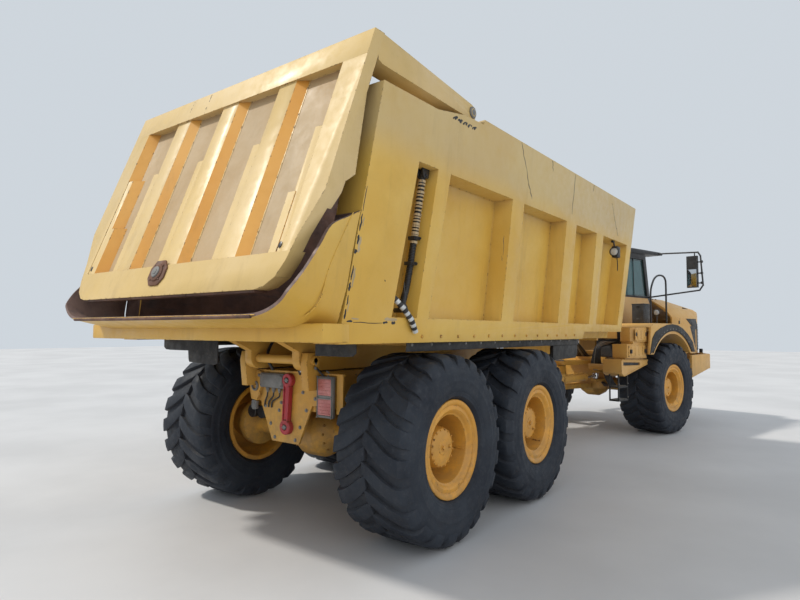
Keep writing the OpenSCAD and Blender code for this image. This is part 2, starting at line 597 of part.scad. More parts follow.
module hood_solid(t) {
    intersection() {
        prof([[2680, 1450], [2680, 2070], [2290, 2070], [2290, 2625 - t], [2900, 2600 - t], [3700, 2400 - t], [4040 - t, 2200 - t], [4130 - t, 1850],
            [4130 - t, 1450]], -1300, 1300);
        sect([[-1200 + t, 1400], [-1200 + t, 2200], [-1050 + t, 2400 - t], [-700, 2620 - t], [700, 2620 - t],
            [1050 - t, 2400 - t], [1200 - t, 2200], [1200 - t, 1400]], 2200, 4300);
        prof2d([[2200, -1230 + t], [3400, -1230 + t], [3950 - t, -1050 + t], [4140 - t, -700], [4140 - t, 700],
            [3950 - t, 1050 - t], [3400, 1230 - t], [2200, 1230 - t]], 1400, 2700);
    }
}
module hood() color(yellow) front_unit() {
    difference() {
        hood_solid(0);
        translate([-3, 0, -1]) hood_solid(35);
        box(3950, 4200, -720, 720, 1400, 2010);
        prof([[4060, 1400], [4060, 1480], [4131, 1610], [4200, 1610], [4200, 1400]], -1300, 1300);
    }
    both() difference() {
        union() {
            prof([[4032, 1430], [4032, 1620], [4078, 1620], [4068, 1470], [4066, 1430]], 735, 775);
            ycyl(28, 735, 775, hood_pin[0], hood_pin[1]);
        }
        ycyl(20.5, 700, 800, hood_pin[0], hood_pin[1]);
    }
}

rear_frame();
frame_members();
hoist_mount();
neck();
tail_frame();
hitch();
bogie();
tail_lamps();
tow_link();
place_wheel(0) tyre();  // tyre_rear_left
place_wheel(1) tyre();  // tyre_rear_right
place_wheel(2) tyre();  // tyre_mid_left
place_wheel(3) tyre();  // tyre_mid_right
place_wheel(4) tyre();  // tyre_front_left
place_wheel(5) tyre();  // tyre_front_right
place_wheel(0) rim();  // rim_rear_left
place_wheel(1) rim();  // rim_rear_right
place_wheel(2) rim();  // rim_mid_left
place_wheel(3) rim();  // rim_mid_right
place_wheel(4) rim();  // rim_front_left
place_wheel(5) rim();  // rim_front_right
bed_floor();
bed_frame();
bed_chute();
color(yellow) at_origin() bed_side();  // bed_side_left
color(yellow) at_origin() mirror([0, 1, 0]) bed_side();  // bed_side_right
bed_front_wall();
bed_flaps();
gate_cables();
work_lamps();
tailgate();
hoist_barrel(1);  // hoist_barrel_left
hoist_barrel(-1);  // hoist_barrel_right
hoist_rod(1);  // hoist_rod_left
hoist_rod(-1);  // hoist_rod_right
steer_barrel(1);  // steer_barrel_left
steer_barrel(-1);  // steer_barrel_right
steer_rod(1);  // steer_rod_left
steer_rod(-1);  // steer_rod_right
front_frame();
front_axle();
engine_block();
cab_shell();
cab_glass();
cab_interior();
cab_door();
door_glass();
fenders();
side_boxes();
air_box();
access_steps();
handrails();
mirrors();
bumper();
grille();
headlamps();
hood();
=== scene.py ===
"""Looks of an articulated dump truck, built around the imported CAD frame."""
import json
import random
from itertools import product
from math import atan2, cos, hypot, radians, sin, tau

import bpy
import bmesh
from mathutils import Matrix, Vector, noise

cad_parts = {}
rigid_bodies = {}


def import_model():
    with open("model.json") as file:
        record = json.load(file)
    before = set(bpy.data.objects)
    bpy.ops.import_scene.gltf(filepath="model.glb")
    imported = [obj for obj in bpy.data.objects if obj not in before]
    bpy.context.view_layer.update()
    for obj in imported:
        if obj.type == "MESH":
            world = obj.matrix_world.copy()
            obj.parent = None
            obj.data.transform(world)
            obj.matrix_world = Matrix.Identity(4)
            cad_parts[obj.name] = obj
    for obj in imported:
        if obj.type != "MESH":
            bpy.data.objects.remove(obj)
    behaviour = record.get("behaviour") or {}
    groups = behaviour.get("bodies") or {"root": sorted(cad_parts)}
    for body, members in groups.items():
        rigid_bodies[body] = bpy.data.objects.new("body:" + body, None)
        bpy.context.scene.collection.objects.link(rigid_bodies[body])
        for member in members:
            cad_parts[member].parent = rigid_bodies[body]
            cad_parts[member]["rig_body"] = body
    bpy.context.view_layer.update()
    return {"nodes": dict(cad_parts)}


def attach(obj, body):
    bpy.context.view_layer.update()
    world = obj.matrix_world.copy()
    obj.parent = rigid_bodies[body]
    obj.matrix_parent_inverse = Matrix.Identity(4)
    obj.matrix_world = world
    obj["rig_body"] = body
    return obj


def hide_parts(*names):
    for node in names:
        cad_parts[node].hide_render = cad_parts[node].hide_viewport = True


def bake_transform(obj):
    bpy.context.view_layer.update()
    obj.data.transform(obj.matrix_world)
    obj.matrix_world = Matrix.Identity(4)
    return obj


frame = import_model()
NODES = frame["nodes"]
rng = random.Random(7)

# Units of the truck: millimetres of the rear and of the front unit, to metres of the row frame
SHIFT = Vector((-4412.7, 243.7, 0))
HITCH, REST = 6500.0, radians(-11)
AXLE_AHEAD, BOGIE = 1278.0, 1820.0
HALF_TRACK, WHEEL_Z, TYRE_R = 1312.5, 850.0, 850
REAR = Matrix.Scale(0.001, 4) @ Matrix.Translation(SHIFT)
FRONT = REAR @ Matrix.Translation((HITCH, 0, 0)) @ Matrix.Rotation(REST, 4, "Z")

AHEAD, BACK, LEFT, RIGHT, UP = (1, 0, 0), (-1, 0, 0), (0, 1, 0), (0, -1, 0), (0, 0, 1)


def link(name, data):
    obj = bpy.data.objects.new(name, data)
    bpy.context.scene.collection.objects.link(obj)
    return obj


CAMERA_AT, CAMERA_TURN = Vector((-4.448, -4.444, 1.90)), (37.4, 3.05, 0.24)
SENSOR, FOCAL_PIXELS, PHOTO_WIDTH = 36, 581.0, 800


def camera():
    """Camera solved from the photograph: its place in metres of the rear unit, its yaw, pitch and roll, its lens."""
    cam = bpy.data.cameras.new("camera")
    obj = bpy.context.scene.camera = link("camera", cam)
    yaw, pitch, roll = (radians(a) for a in CAMERA_TURN)
    fwd = Vector((cos(yaw) * cos(pitch), sin(yaw) * cos(pitch), sin(pitch)))
    right = Vector((sin(yaw), -cos(yaw), 0))
    up = right.cross(fwd)
    m = Matrix((right * cos(roll) + up * sin(roll), up * cos(roll) - right * sin(roll), -fwd)).transposed().to_4x4()
    m.translation = CAMERA_AT + SHIFT / 1000
    obj.matrix_world = m
    cam.sensor_width = SENSOR
    cam.lens = SENSOR * FOCAL_PIXELS / PHOTO_WIDTH
    cam.clip_end = 200


class Tree:
    """Shorthand for the node tree of one material."""

    def __init__(self, name):
        self.mat = bpy.data.materials.new(name)
        self.mat.use_nodes = True
        self.t = self.mat.node_tree
        self.bsdf = self.t.nodes["Principled BSDF"]
        self.coord = self.node("TexCoord")

    def node(self, kind, **values):
        n = self.t.nodes.new("ShaderNode" + kind)
        for k, v in values.items():
            self.value(n.inputs[k.replace("_", " ")], v)
        return n

    def value(self, socket, v):
        if isinstance(v, bpy.types.NodeSocket):
            self.t.links.new(v, socket)
        else:
            socket.default_value = v

    def noise(self, scale, detail=4, rough=0.55, stretch=(1, 1, 1)):
        at = self.node("Mapping", Scale=stretch, Vector=self.coord.outputs["Object"]).outputs[0]
        return self.node("TexNoise", Vector=at, Scale=scale, Detail=detail, Roughness=rough).outputs["Fac"]

    def ramp(self, fac, lo, hi, a=0.0, b=1.0):
        n = self.node("MapRange", Value=fac, From_Min=lo, From_Max=hi, To_Min=a, To_Max=b)
        n.interpolation_type = "SMOOTHSTEP"
        return n.outputs[0]

    def cloud(self, noise, *steps):
        """Noise with soft steps between two levels."""
        return self.ramp(self.noise(*noise), *steps)

    def math(self, op, a, b=0.0):
        n = self.node("Math")
        n.operation = op
        n.use_clamp = True
        self.value(n.inputs[0], a)
        self.value(n.inputs[1], b)
        return n.outputs[0]

    def times(self, a, b):
        return self.math("MULTIPLY", a, b)

    def mix(self, fac, a, b):
        n = self.node("Mix")
        n.data_type = "RGBA"
        self.value(n.inputs[0], fac)
        for s, v in ((n.inputs[6], a), (n.inputs[7], b)):
            self.value(s, v if isinstance(v, bpy.types.NodeSocket) else (*v, 1.0))
        return n.outputs[2]

    def height(self):
        return self.node("SeparateXYZ", Vector=self.coord.outputs["Object"]).outputs["Z"]

    def edges(self):
        # worn edges: where the bevelled normal leaves the true one
        b = self.node("Bevel", Radius=0.012)
        b.samples = 4
        d = self.node("VectorMath")
        d.operation = "DOT_PRODUCT"
        self.value(d.inputs[0], b.outputs[0])
        self.value(d.inputs[1], self.node("NewGeometry").outputs["Normal"])
        return self.ramp(self.math("SUBTRACT", 1.0, d.outputs["Value"]), 0.002, 0.05)

    def cavity(self, dist):
        a = self.node("AmbientOcclusion", Distance=dist)
        a.samples = 4
        return self.ramp(a.outputs["AO"], 0.2, 0.95, 1.0, 0.0)

    def bump(self, height, strength, dist):
        n = self.node("Bump", Strength=strength, Distance=dist, Height=height)
        self.value(self.bsdf.inputs["Normal"], n.outputs[0])

    def out(self, color, rough, metal=0.0, **sockets):
        for k, v in {"Base Color": color, "Roughness": rough, "Metallic": metal, **sockets}.items():
            self.value(self.bsdf.inputs[k.replace("_", " ")], v)
        return self.mat


RUST, SOOT = (0.105, 0.040, 0.018), (0.035, 0.028, 0.025)
RUN, SPECK, LOW_DARK_TONE, CAVITY_SHADE_DIRT = (0.20, 0.115, 0.045), (0.22, 0.13, 0.06), (0.13, 0.10, 0.07), (0.16, 0.085, 0.035)
PALER_TOP = (0.50, 0.42, 0.26)


def paint(name, base, fade, grime_and_shade=0.5, chips=0.5, rough=0.42, paler_top=0.0):
    """Worn paint: faded patches, dirt runs and specks, darker patches low down, painted shade with dirt in corners,
    chips on edges and faces.
    """
    t = Tree(name)
    c = t.mix(t.cloud((0.7, 5, 0.6), 0.35, 0.68), base, fade)
    if paler_top:
        # the paint turns paler towards the top of the body
        c = t.mix(t.ramp(t.height(), 3.15, 3.55, 0.0, paler_top), c, PALER_TOP)
    c = t.mix(t.cloud((3.1, 6, 0.65), 0.45, 0.8, 0.0, 0.35), c, tuple(v * 0.82 for v in base))
    c = t.mix(t.cloud((5.0, 6, 0.7, (1.0, 1.0, 0.06)), 0.52, 0.78, 0.0, 0.40 * grime_and_shade), c, RUN)
    c = t.mix(t.cloud((46, 5, 0.7), 0.60, 0.74, 0.0, 0.45 * grime_and_shade), c, SPECK)
    # darker patches towards the bottom
    low = t.ramp(t.height(), 0.3, 1.75, 0.75 * grime_and_shade, 0.0)
    c = t.mix(t.times(low, t.cloud((6, 6, 0.7), 0.30, 0.62)), c, LOW_DARK_TONE)
    # painted shade with dirt: darker and browner in hollows, by ambient occlusion
    c = t.mix(t.times(t.cavity(0.12), 0.55 * grime_and_shade), c, CAVITY_SHADE_DIRT)
    edge = t.times(t.edges(), t.cloud((24, 8, 0.75), 0.56 - 0.08 * chips, 0.63 - 0.05 * chips))
    spots = t.times(t.cloud((15, 8, 0.8), 0.680, 0.70), t.cloud((1.6, 3), 0.50, 0.62))
    wear = t.math("ADD", edge, t.times(spots, chips))
    c = t.mix(wear, c, t.mix(t.cloud((60, 3), 0.4, 0.6), RUST, SOOT))
    gloss = t.math("ADD", t.cloud((9, 6, 0.7), 0.3, 0.75, rough - 0.08, rough + 0.18), t.times(wear, 0.4))
    t.bump(t.math("SUBTRACT", t.noise(2.2, 3, 0.5), t.times(wear, 0.3)), 0.12, 0.02)
    return t.out(c, gloss, Coat_Weight=0.12, Coat_Roughness=0.25, Specular_IOR_Level=0.45)


def tyre_rubber():
    t = Tree("tyre_rubber")
    # bluish black, with bluish-grey flecks of worn rubber; the blue cast is painted sky sheen
    c = t.mix(t.cloud((3.0, 6, 0.7), 0.35, 0.7), (0.010, 0.014, 0.023), (0.025, 0.032, 0.044))
    c = t.mix(t.cloud((22, 7, 0.75), 0.50, 0.78, 0.0, 0.7), c, (0.050, 0.057, 0.070))
    c = t.mix(t.times(t.cavity(0.10), 0.30), c, (0.075, 0.062, 0.052))
    t.bump(t.noise(38, 8, 0.7), 0.35, 0.006)
    return t.out(c, t.cloud((12, 5, 0.7), 0.3, 0.7, 0.50, 0.85), Specular_IOR_Level=0.4)


def plain(name, a, b, rough, scale, metal, bump, dust=0.3):
    """Two mottled tones under dust, with a fine bump."""
    t = Tree(name)
    c = t.mix(t.cloud((scale, 6, 0.65), 0.35, 0.7), a, b)
    c = t.mix(t.cloud((scale * 5, 6, 0.75), 0.5, 0.8, 0.0, dust), c, (0.20, 0.17, 0.135))
    t.bump(t.noise(scale * 9, 5, 0.6), bump, 0.004)
    return t.out(c, t.cloud((scale * 2.2, 5, 0.6), 0.3, 0.7, *rough), metal)


def rusty_steel():
    t = Tree("rusty_steel")
    c = t.mix(t.cloud((2.4, 7, 0.7), 0.35, 0.65), (0.095, 0.052, 0.040), (0.170, 0.085, 0.055))
    c = t.mix(t.cloud((14, 7, 0.75, (0.25, 1, 1)), 0.50, 0.72, 0, 0.8), c, (0.045, 0.039, 0.040))
    c = t.mix(t.cloud((30, 6, 0.7), 0.60, 0.75, 0, 0.5), c, (0.24, 0.15, 0.10))
    t.bump(t.noise(26, 8, 0.75), 0.4, 0.008)
    return t.out(c, t.cloud((9, 5), 0.3, 0.7, 0.55, 0.9), 0.25)


def spattered_rust():
    """Dark worn steel with pale and dark spatter, where coal slides out."""
    t = Tree("spattered_rust")
    c = t.mix(t.cloud((2.0, 6, 0.7), 0.35, 0.65), (0.135, 0.088, 0.078), (0.210, 0.135, 0.112))
    c = t.mix(t.cloud((7, 7, 0.75, (1, 1, 0.3)), 0.48, 0.70, 0, 0.75), c, (0.062, 0.056, 0.060))
    c = t.mix(t.cloud((34, 7, 0.8), 0.62, 0.70, 0, 0.7), c, (0.30, 0.27, 0.25))
    t.bump(t.noise(22, 8, 0.75), 0.4, 0.008)
    return t.out(c, t.cloud((9, 5), 0.3, 0.7, 0.5, 0.85), 0.2)


def glass():
    t = Tree("cab_glazing")
    c = t.mix(t.cloud((1.4, 4), 0.35, 0.7), (0.16, 0.30, 0.31), (0.24, 0.38, 0.38))
    return t.out(c, t.cloud((5, 5), 0.3, 0.7, 0.05, 0.12), Transmission_Weight=0.85, IOR=1.45, Alpha=1.0)


M = {
    "yellow": paint("yellow_paint", (0.66, 0.39, 0.060), (0.72, 0.47, 0.105), paler_top=0.55),
    # tailgate paint: a paler, creamier yellow, partly paint and partly painted sky glare
    "gate": paint("gate_paint_with_glare", (0.63, 0.44, 0.165), (0.68, 0.50, 0.24), 0.5, 0.5, 0.5),
    # recessed gate panels: darker, greyer paint, partly dirt and partly painted shade from the ribs
    "gate_panel_shaded": paint("gate_panel_shaded_paint", (0.42, 0.29, 0.15), (0.46, 0.34, 0.20), 0.7, 0.4, 0.6),
    # painted shade: a deep orange copy of the paint for the ribs' shaded sides
    "shade_orange": paint("shaded_paint", (0.66, 0.30, 0.045), (0.72, 0.37, 0.08), 0.5, 0.4),
    "rim": paint("rim_paint", (0.70, 0.32, 0.030), (0.76, 0.38, 0.055), 0.55, 0.4, 0.45),
    "frame": paint("frame_paint", (0.64, 0.32, 0.042), (0.69, 0.39, 0.075), 0.8, 0.8, 0.5),
    "front": paint("front_paint", (0.62, 0.33, 0.075), (0.68, 0.41, 0.13), 0.6, 0.5),
    "red": paint("red_paint", (0.40, 0.015, 0.030), (0.48, 0.030, 0.045), 0.5, 0.8, 0.45),
    "tan": paint("tan_paint", (0.52, 0.30, 0.10), (0.60, 0.38, 0.16), 0.8, 0.4, 0.5),
    "tan_patch": plain("tan_panel", (0.42, 0.31, 0.17), (0.50, 0.38, 0.22), (0.5, 0.7), 4, 0, 0.1, 0.3),
    "tyre": tyre_rubber(),
    "rubber": plain("flap_rubber", (0.020, 0.020, 0.021), (0.040, 0.039, 0.038), (0.55, 0.8), 5, 0, 0.3),
    "dark": plain("dark_parts", (0.016, 0.016, 0.018), (0.035, 0.035, 0.036), (0.35, 0.6), 5, 0.1, 0.12, 0.25),
    "grey": plain("grey_metal", (0.17, 0.17, 0.165), (0.26, 0.255, 0.245), (0.45, 0.75), 5, 0.3, 0.25, 0.6),
    "chrome": plain("rod_chrome", (0.62, 0.62, 0.63), (0.70, 0.70, 0.70), (0.10, 0.22), 8, 1.0, 0.02, 0.05),
    "mirror": plain("mirror_glass", (0.55, 0.58, 0.60), (0.62, 0.65, 0.67), (0.03, 0.08), 5, 1.0, 0.01, 0.05),
    "trim": plain("cab_trim", (0.030, 0.030, 0.032), (0.055, 0.054, 0.052), (0.6, 0.85), 9, 0, 0.3, 0.1),
    "lens_clear": plain("lens_clear", (0.50, 0.52, 0.52), (0.66, 0.68, 0.68), (0.08, 0.2), 8, 0.2, 0.1, 0.1),
    "lens_pink": plain("lens_faded", (0.46, 0.13, 0.12), (0.60, 0.24, 0.22), (0.2, 0.4), 6, 0, 0.1, 0.4),
    "rust": rusty_steel(),
    "chute_rust": spattered_rust(),
    "glass": glass(),
}


# Mesh helpers
def new_object(name, bm, mat, body, smooth=35):
    """Object in metres that rides on body; edges above smooth degrees stay sharp."""
    me = bpy.data.meshes.new(name)
    bm.to_mesh(me)
    bm.free()
    obj = link(name, me)
    for m in mat if isinstance(mat, (list, tuple)) else [mat]:
        me.materials.append(M[m])
    me.shade_smooth()
    me.set_sharp_from_angle(angle=radians(smooth))
    if body:
        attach(obj, body)
    return obj


def soften(node, mat, width, pick=None):
    """A copy of a CAD node with its edges rounded, which stands for it; pick gives each face its finish."""
    src = NODES[node]
    bm = bmesh.new()
    bm.from_mesh(src.data)
    bmesh.ops.remove_doubles(bm, verts=bm.verts, dist=1e-5)
    bmesh.ops.dissolve_limit(bm, angle_limit=radians(1.0), verts=bm.verts, edges=bm.edges)
    if pick:
        back = REAR.inverted()
        for f in bm.faces:
            f.material_index = pick(back @ (src.matrix_world @ f.calc_center_median()), f.normal)
    obj = new_object(node + "_skin", bm, mat, src["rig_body"])
    mod = obj.modifiers.new("bevel", "BEVEL")
    mod.width = width
    mod.segments = 2
    mod.limit_method = "ANGLE"
    mod.angle_limit = radians(28)
    mod.use_clamp_overlap = True
    mod.harden_normals = False
    dg = bpy.context.evaluated_depsgraph_get()
    me = bpy.data.meshes.new_from_object(obj.evaluated_get(dg), depsgraph=dg)
    obj.modifiers.clear()
    old, obj.data = obj.data, me
    bpy.data.meshes.remove(old)
    me.shade_smooth()
    me.set_sharp_from_angle(angle=radians(32))
    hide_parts(node)


def stage_and_light():
    bm = bmesh.new()
    bmesh.ops.create_grid(bm, x_segments=1, y_segments=1, size=60)
    me = bpy.data.meshes.new("floor")
    bm.to_mesh(me)
    bm.free()
    t = Tree("floor_pale")
    me.materials.append(t.out(t.mix(t.cloud((0.35, 5), 0.3, 0.7), (0.52, 0.52, 0.53), (0.60, 0.60, 0.61)), 0.6))
    link("floor", me)
    world = bpy.data.worlds.new("world")
    bpy.context.scene.world = world
    world.use_nodes = True
    sky = world.node_tree.nodes["Background"]
    sky.inputs[0].default_value = (0.86, 0.93, 1.0, 1)
    sky.inputs[1].default_value = 0.72
    for name, to_lamp, energy, angle, color in (
        ("key", (-0.42, 0.50, 0.76), 2.3, 4, (1.0, 0.95, 0.86)),
        ("fill", (-0.35, -0.85, 0.40), 0.55, 60, (1.0, 0.97, 0.92)),
    ):
        lamp = bpy.data.lights.new(name, "SUN")
        lamp.energy = energy
        lamp.angle = radians(angle)
        lamp.color = color
        obj = link(name, lamp)
        obj.rotation_mode = "QUATERNION"
        obj.rotation_quaternion = Vector(to_lamp).to_track_quat("Z", "Y")
    bpy.context.scene.view_settings.view_transform = "Standard"


# Primitive shapes, in millimetres of the unit that carries them
def turned(at, degrees, axis):
    """Matrix that turns a shape about an axis and carries it to a point."""
    return Matrix.Translation(at) @ Matrix.Rotation(radians(degrees), 4, axis)


def facing(at, d):
    """Matrix that points z along d."""
    return Matrix.Translation(at) @ Vector(d).to_track_quat("Z", "Y").to_matrix().to_4x4()


def circle(n, r, start=0.0):
    """n even points on a circle."""
    return [(r * cos(tau * k / n + start), r * sin(tau * k / n + start)) for k in range(n)]


def along(line, t):
    """Point of a broken line, t counted in its stretches."""
    k = min(int(t), len(line) - 2)
    return line[k].lerp(line[k + 1], t - k)


def smooth_path(p, steps):
    """Points on a smooth curve through p."""
    path = []
    for i in range(len(p) - 1):
        p0, p1, p2, p3 = p[max(i - 1, 0)], p[i], p[i + 1], p[min(i + 2, len(p) - 1)]
        for t in (k / steps for k in range(steps)):
            path.append(0.5 * ((2 * p1) + (p2 - p0) * t + (2 * p0 - 5 * p1 + 4 * p2 - p3) * t * t
                               + (3 * p1 - p0 - 3 * p2 + p3) * t ** 3))
    return path + [p[-1]]


def add(bm, other, m=None, tidy=False):
    """Joins another mesh to bm and frees it."""
    if tidy:
        bmesh.ops.recalc_face_normals(other, faces=other.faces)
    if m:
        other.transform(m)
    me = bpy.data.meshes.new("tmp")
    other.to_mesh(me)
    other.free()
    bm.from_mesh(me)
    bpy.data.meshes.remove(me)


def add_mirror(bm):
    b = bm.copy()
    bmesh.ops.scale(b, vec=(1, -1, 1), verts=b.verts)
    bmesh.ops.reverse_faces(b, faces=b.faces)
    add(bm, b)


def bevel(bm, width, segments=2, angle=30):
    edges = [e for e in bm.edges if len(e.link_faces) == 2 and e.calc_face_angle(0) > radians(angle)]
    if edges:
        bmesh.ops.bevel(bm, geom=edges, offset=width, segments=segments, profile=0.5, affect="EDGES",
                        clamp_overlap=True)


def box(bm, x0, x1, y0, y1, z0, z1, r, m=None, seg=2):
    """Box with edges rounded by r."""
    b = bmesh.new()
    bmesh.ops.create_cube(b, size=1)
    bmesh.ops.scale(b, vec=(x1 - x0, y1 - y0, z1 - z0), verts=b.verts)
    bmesh.ops.translate(b, vec=((x0 + x1) / 2, (y0 + y1) / 2, (z0 + z1) / 2), verts=b.verts)
    bevel(b, r, seg)
    add(bm, b, m)


AXES = {"x": turned((0, 0, 0), 90, "Y"), "y": turned((0, 0, 0), -90, "X"), "z": Matrix.Identity(4)}


def lathe(bm, profile, axis="z", at=(0, 0, 0), seg=48, m=None, arc=1.0):
    """Turned shape: profile is (radius, along) pairs, and radius 0 closes the end."""
    b = bmesh.new()
    rows = []
    for r, h in profile:
        n = 1 if r <= 0 else seg if arc >= 1 else seg + 1
        rows.append([b.verts.new((r * cos(tau * arc * i / seg), r * sin(tau * arc * i / seg), h)) for i in range(n)])
    for a, c in zip(rows, rows[1:]):
        for i in range(seg):
            q = []
            for v in (a[i % len(a)], a[(i + 1) % len(a)], c[(i + 1) % len(c)], c[i % len(c)]):
                if v not in q:
                    q.append(v)
            if len(q) > 2:
                b.faces.new(q)
    bmesh.ops.recalc_face_normals(b, faces=b.faces)
    b.transform(Matrix.Translation(at) @ AXES[axis])
    add(bm, b, m)


def cap(r, h, ease_r, ease_h):
    """Profile of a round cap h high whose edge is eased."""
    return [(0, 0), (r, 0), (r, h - ease_h), (r - ease_r, h), (0, h)]


def rod(bm, r, a, c, seg=16):
    """Round bar from a to c with its ends eased."""
    d = Vector(c) - Vector(a)
    h = d.length
    e = min(r * 0.15, h / 3)
    lathe(bm, [(0, 0), (r - e, 0), (r, e), (r, h - e), (r - e, h), (0, h)], seg=seg, m=facing(a, d))


def bolt(bm, at, axis, r, h):
    """Hex head on a washer; axis is the direction it faces."""
    m = facing(at, Vector(axis).normalized())
    lathe(bm, [(r * 1.35, -1), (r * 1.35, 2), (r * 1.2, 3), (0, 3)], seg=16, m=m)
    lathe(bm, [(r, 2), (r, h - 2), (r * 0.85, h), (0, h)], seg=6, m=m)


def bolts(bm, spots, axis, r, h):
    for at in spots:
        bolt(bm, at, axis, r, h)


def skin(b, rows, closed=True):
    """Faces between rings of points, and over the first and the last."""
    for a, c in zip(rows, rows[1:]):
        for k in range(len(a)):
            b.faces.new((a[k], a[(k + 1) % len(a)], c[(k + 1) % len(a)], c[k]))
    if closed:
        b.faces.new(rows[0])
        b.faces.new(rows[-1])


def tube(bm, pts, r, seg, smooth=True, steps=6, closed=True):
    """Round tube through pts, along a smooth path or straight from one to the next."""
    path = [Vector(v) for v in pts]
    if smooth and len(path) > 2:
        path = smooth_path(path, steps)
    b = bmesh.new()
    up = Vector((0.13, 0.31, 1)).normalized()
    rings = []
    for i, q in enumerate(path):
        d = (path[min(i + 1, len(path) - 1)] - path[max(i - 1, 0)]).normalized()
        u = d.cross(up)
        if u.length < 0.05:
            u = d.cross(Vector((1, 0, 0)))
        u.normalize()
        up = u.cross(d).normalized()
        rings.append([b.verts.new(q + (u * cos(tau * k / seg) + up * sin(tau * k / seg)) * r) for k in range(seg)])
    skin(b, rings, closed)
    add(bm, b, tidy=True)


PLANES = {"xz": lambda p, w: (p[0], w, p[1]), "yz": lambda p, w: (w, p[0], p[1]), "xy": lambda p, w: (p[0], p[1], w)}


def prism(bm, pts, a, c, plane="xz", r=0.0, m=None):
    """Outline drawn in a plane and pulled from a to c along the third axis."""
    b = bmesh.new()
    lo, hi = ([b.verts.new(PLANES[plane](p, w)) for p in pts] for w in (a, c))
    b.faces.new(lo)
    b.faces.new(hi)
    for i in range(len(pts)):
        j = (i + 1) % len(pts)
        b.faces.new((lo[i], lo[j], hi[j], hi[i]))
    bmesh.ops.recalc_face_normals(b, faces=b.faces)
    if r:
        bevel(b, r)
    add(bm, b, m)


def weld(bm, a, c, r, seed):
    """Rippled bead of weld metal from a to c."""
    a, c = Vector(a), Vector(c)
    n = max(3, int((c - a).length / 16))
    d = (c - a).normalized()
    u = d.orthogonal().normalized()
    w = d.cross(u)
    b = bmesh.new()
    rings = []
    for i in range(n + 1):
        q = a.lerp(c, i / n)
        k = r * (0.8 + 0.35 * noise.noise(q * 0.045 + Vector((seed, 0, 0))) + (0.12 if i % 2 else -0.1))
        rings.append([b.verts.new(q + (u * cos(t) + w * sin(t)) * k) for t in (0, 1.26, 2.51, 3.77, 5.03)])
    skin(b, rings)
    add(bm, b, tidy=True)


def ribbon(bm, pts, normal, width, thick=1.6):
    """Thin strip along pts that lies on a face, for cracks and seams."""
    n = Vector(normal).normalized()
    b = bmesh.new()
    rows = []
    last = len(pts) - 1
    for i, q in enumerate(pts):
        d = (pts[min(i + 1, last)] - pts[max(i - 1, 0)]).normalized()
        s = d.cross(n).normalized() * width * (0.25 if i in (0, last) else 0.35 + 0.3 * rng.random())
        rows.append([b.verts.new(q + s), b.verts.new(q + n * thick), b.verts.new(q - s)])
    for a, c in zip(rows, rows[1:]):
        for j in (0, 1):
            b.faces.new((a[j], a[j + 1], c[j + 1], c[j]))
    add(bm, b)


def crack(a, c, steps, amp):
    """Jagged line of points from a to c."""
    a, c = Vector(a), Vector(c)
    side = (c - a).normalized()
    out = []
    for i in range(steps + 1):
        w = 0 if i in (0, steps) else (rng.random() - 0.5) * 2 * amp
        out.append(a.lerp(c, i / steps) + Vector((w * abs(side.z), 0, w * abs(side.x))))
    return out


def piece(mat, body, unit=REAR, smooth=35, both=False, name=None):
    """Draws the function below it at once, in millimetres of its unit, mirrored as well if both.
    The function's name is the piece's, and then stands for its object."""
    def make(draw):
        bm = bmesh.new()
        draw(bm)
        if both:
            add_mirror(bm)
        bm.transform(unit)
        return new_object(name or draw.__name__, bm, mat, body, smooth)
    return make


def front_piece(mat, body="tractor", **how):
    return piece(mat, body, FRONT, **how)


def cord(name, pts, r, body, mat, unit):
    """A hose held at both ends, through pts in millimetres of its unit."""
    path = smooth_path([Vector(v) for v in pts], 10)
    bm = bmesh.new()
    tube(bm, path, r, 12, smooth=False)
    bm.transform(unit)
    o = new_object(name, bm, mat, body, 60)


def crossing(name, pts, r, mat):
    """A hose from the rear unit to the front one, through points of the row frame."""
    bm = bmesh.new()
    tube(bm, [REAR.inverted() @ v for v in pts], r, 12, steps=12)
    bm.transform(REAR)
    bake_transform(new_object(name, bm, mat, None, 180))


# Faces of the body and the gate
SIDE, RECESS, LEAN, LEAN_Z = 1530, 1310, 0.093, 1800
PILLAR_FOOT, PILLAR_LEAN = 2062, 0.142
GATE_X, GATE_Z, SLOPE = -1130, 4220, 0.3836
GATE_N = Vector((-1, 0, SLOPE)).normalized()


def wall(w, z, s):
    """y of a leaning side that is w from the middle at the height LEAN_Z."""
    return s * (w + LEAN * (z - LEAN_Z))


def on_side(x, z, out=0.0, w=SIDE, s=-1):
    return (x, wall(w + out, z, s), z)


def gate_point(y, z, h=0.0):
    """Point of the gate's sloping outer face, or h in from it."""
    return (GATE_X - (GATE_Z - z) * SLOPE + h, y, z)


def gate_matrix(y, z):
    m = Matrix((Vector(RIGHT), Vector((SLOPE, 0, 1)).normalized(), GATE_N)).transposed().to_4x4()
    m.translation = Vector(gate_point(y, z))
    return m


# Wheels
TYRE_SIDE = [(415, 315), (443, 316), (452, 330), (462, 352), (474, 363), (492, 366), (500, 371), (512, 372),
             (520, 378), (560, 384), (600, 388), (612, 391), (620, 391), (630, 388), (668, 387), (690, 388),
             (700, 386), (740, 377), (775, 355), (800, 325), (808, 300), (811, 240), (812, 120), (812, 0)]
# one lug, outwards from the middle: across, radius of the top and of the foot, how far it sweeps back
LUG_PATH = [(-14, 850, 800, -64), (60, 850, 800, -10), (130, 850, 800, 42), (200, 849, 799, 90),
            (262, 847, 795, 122), (310, 843, 788, 140), (345, 832, 775, 150), (366, 808, 756, 156),
            (379, 775, 738, 160), (383, 742, 722, 162)]
LUGS, LUG_HALF, LUG_HALF_START, LUG_EASE = 22, 80, 64, 9


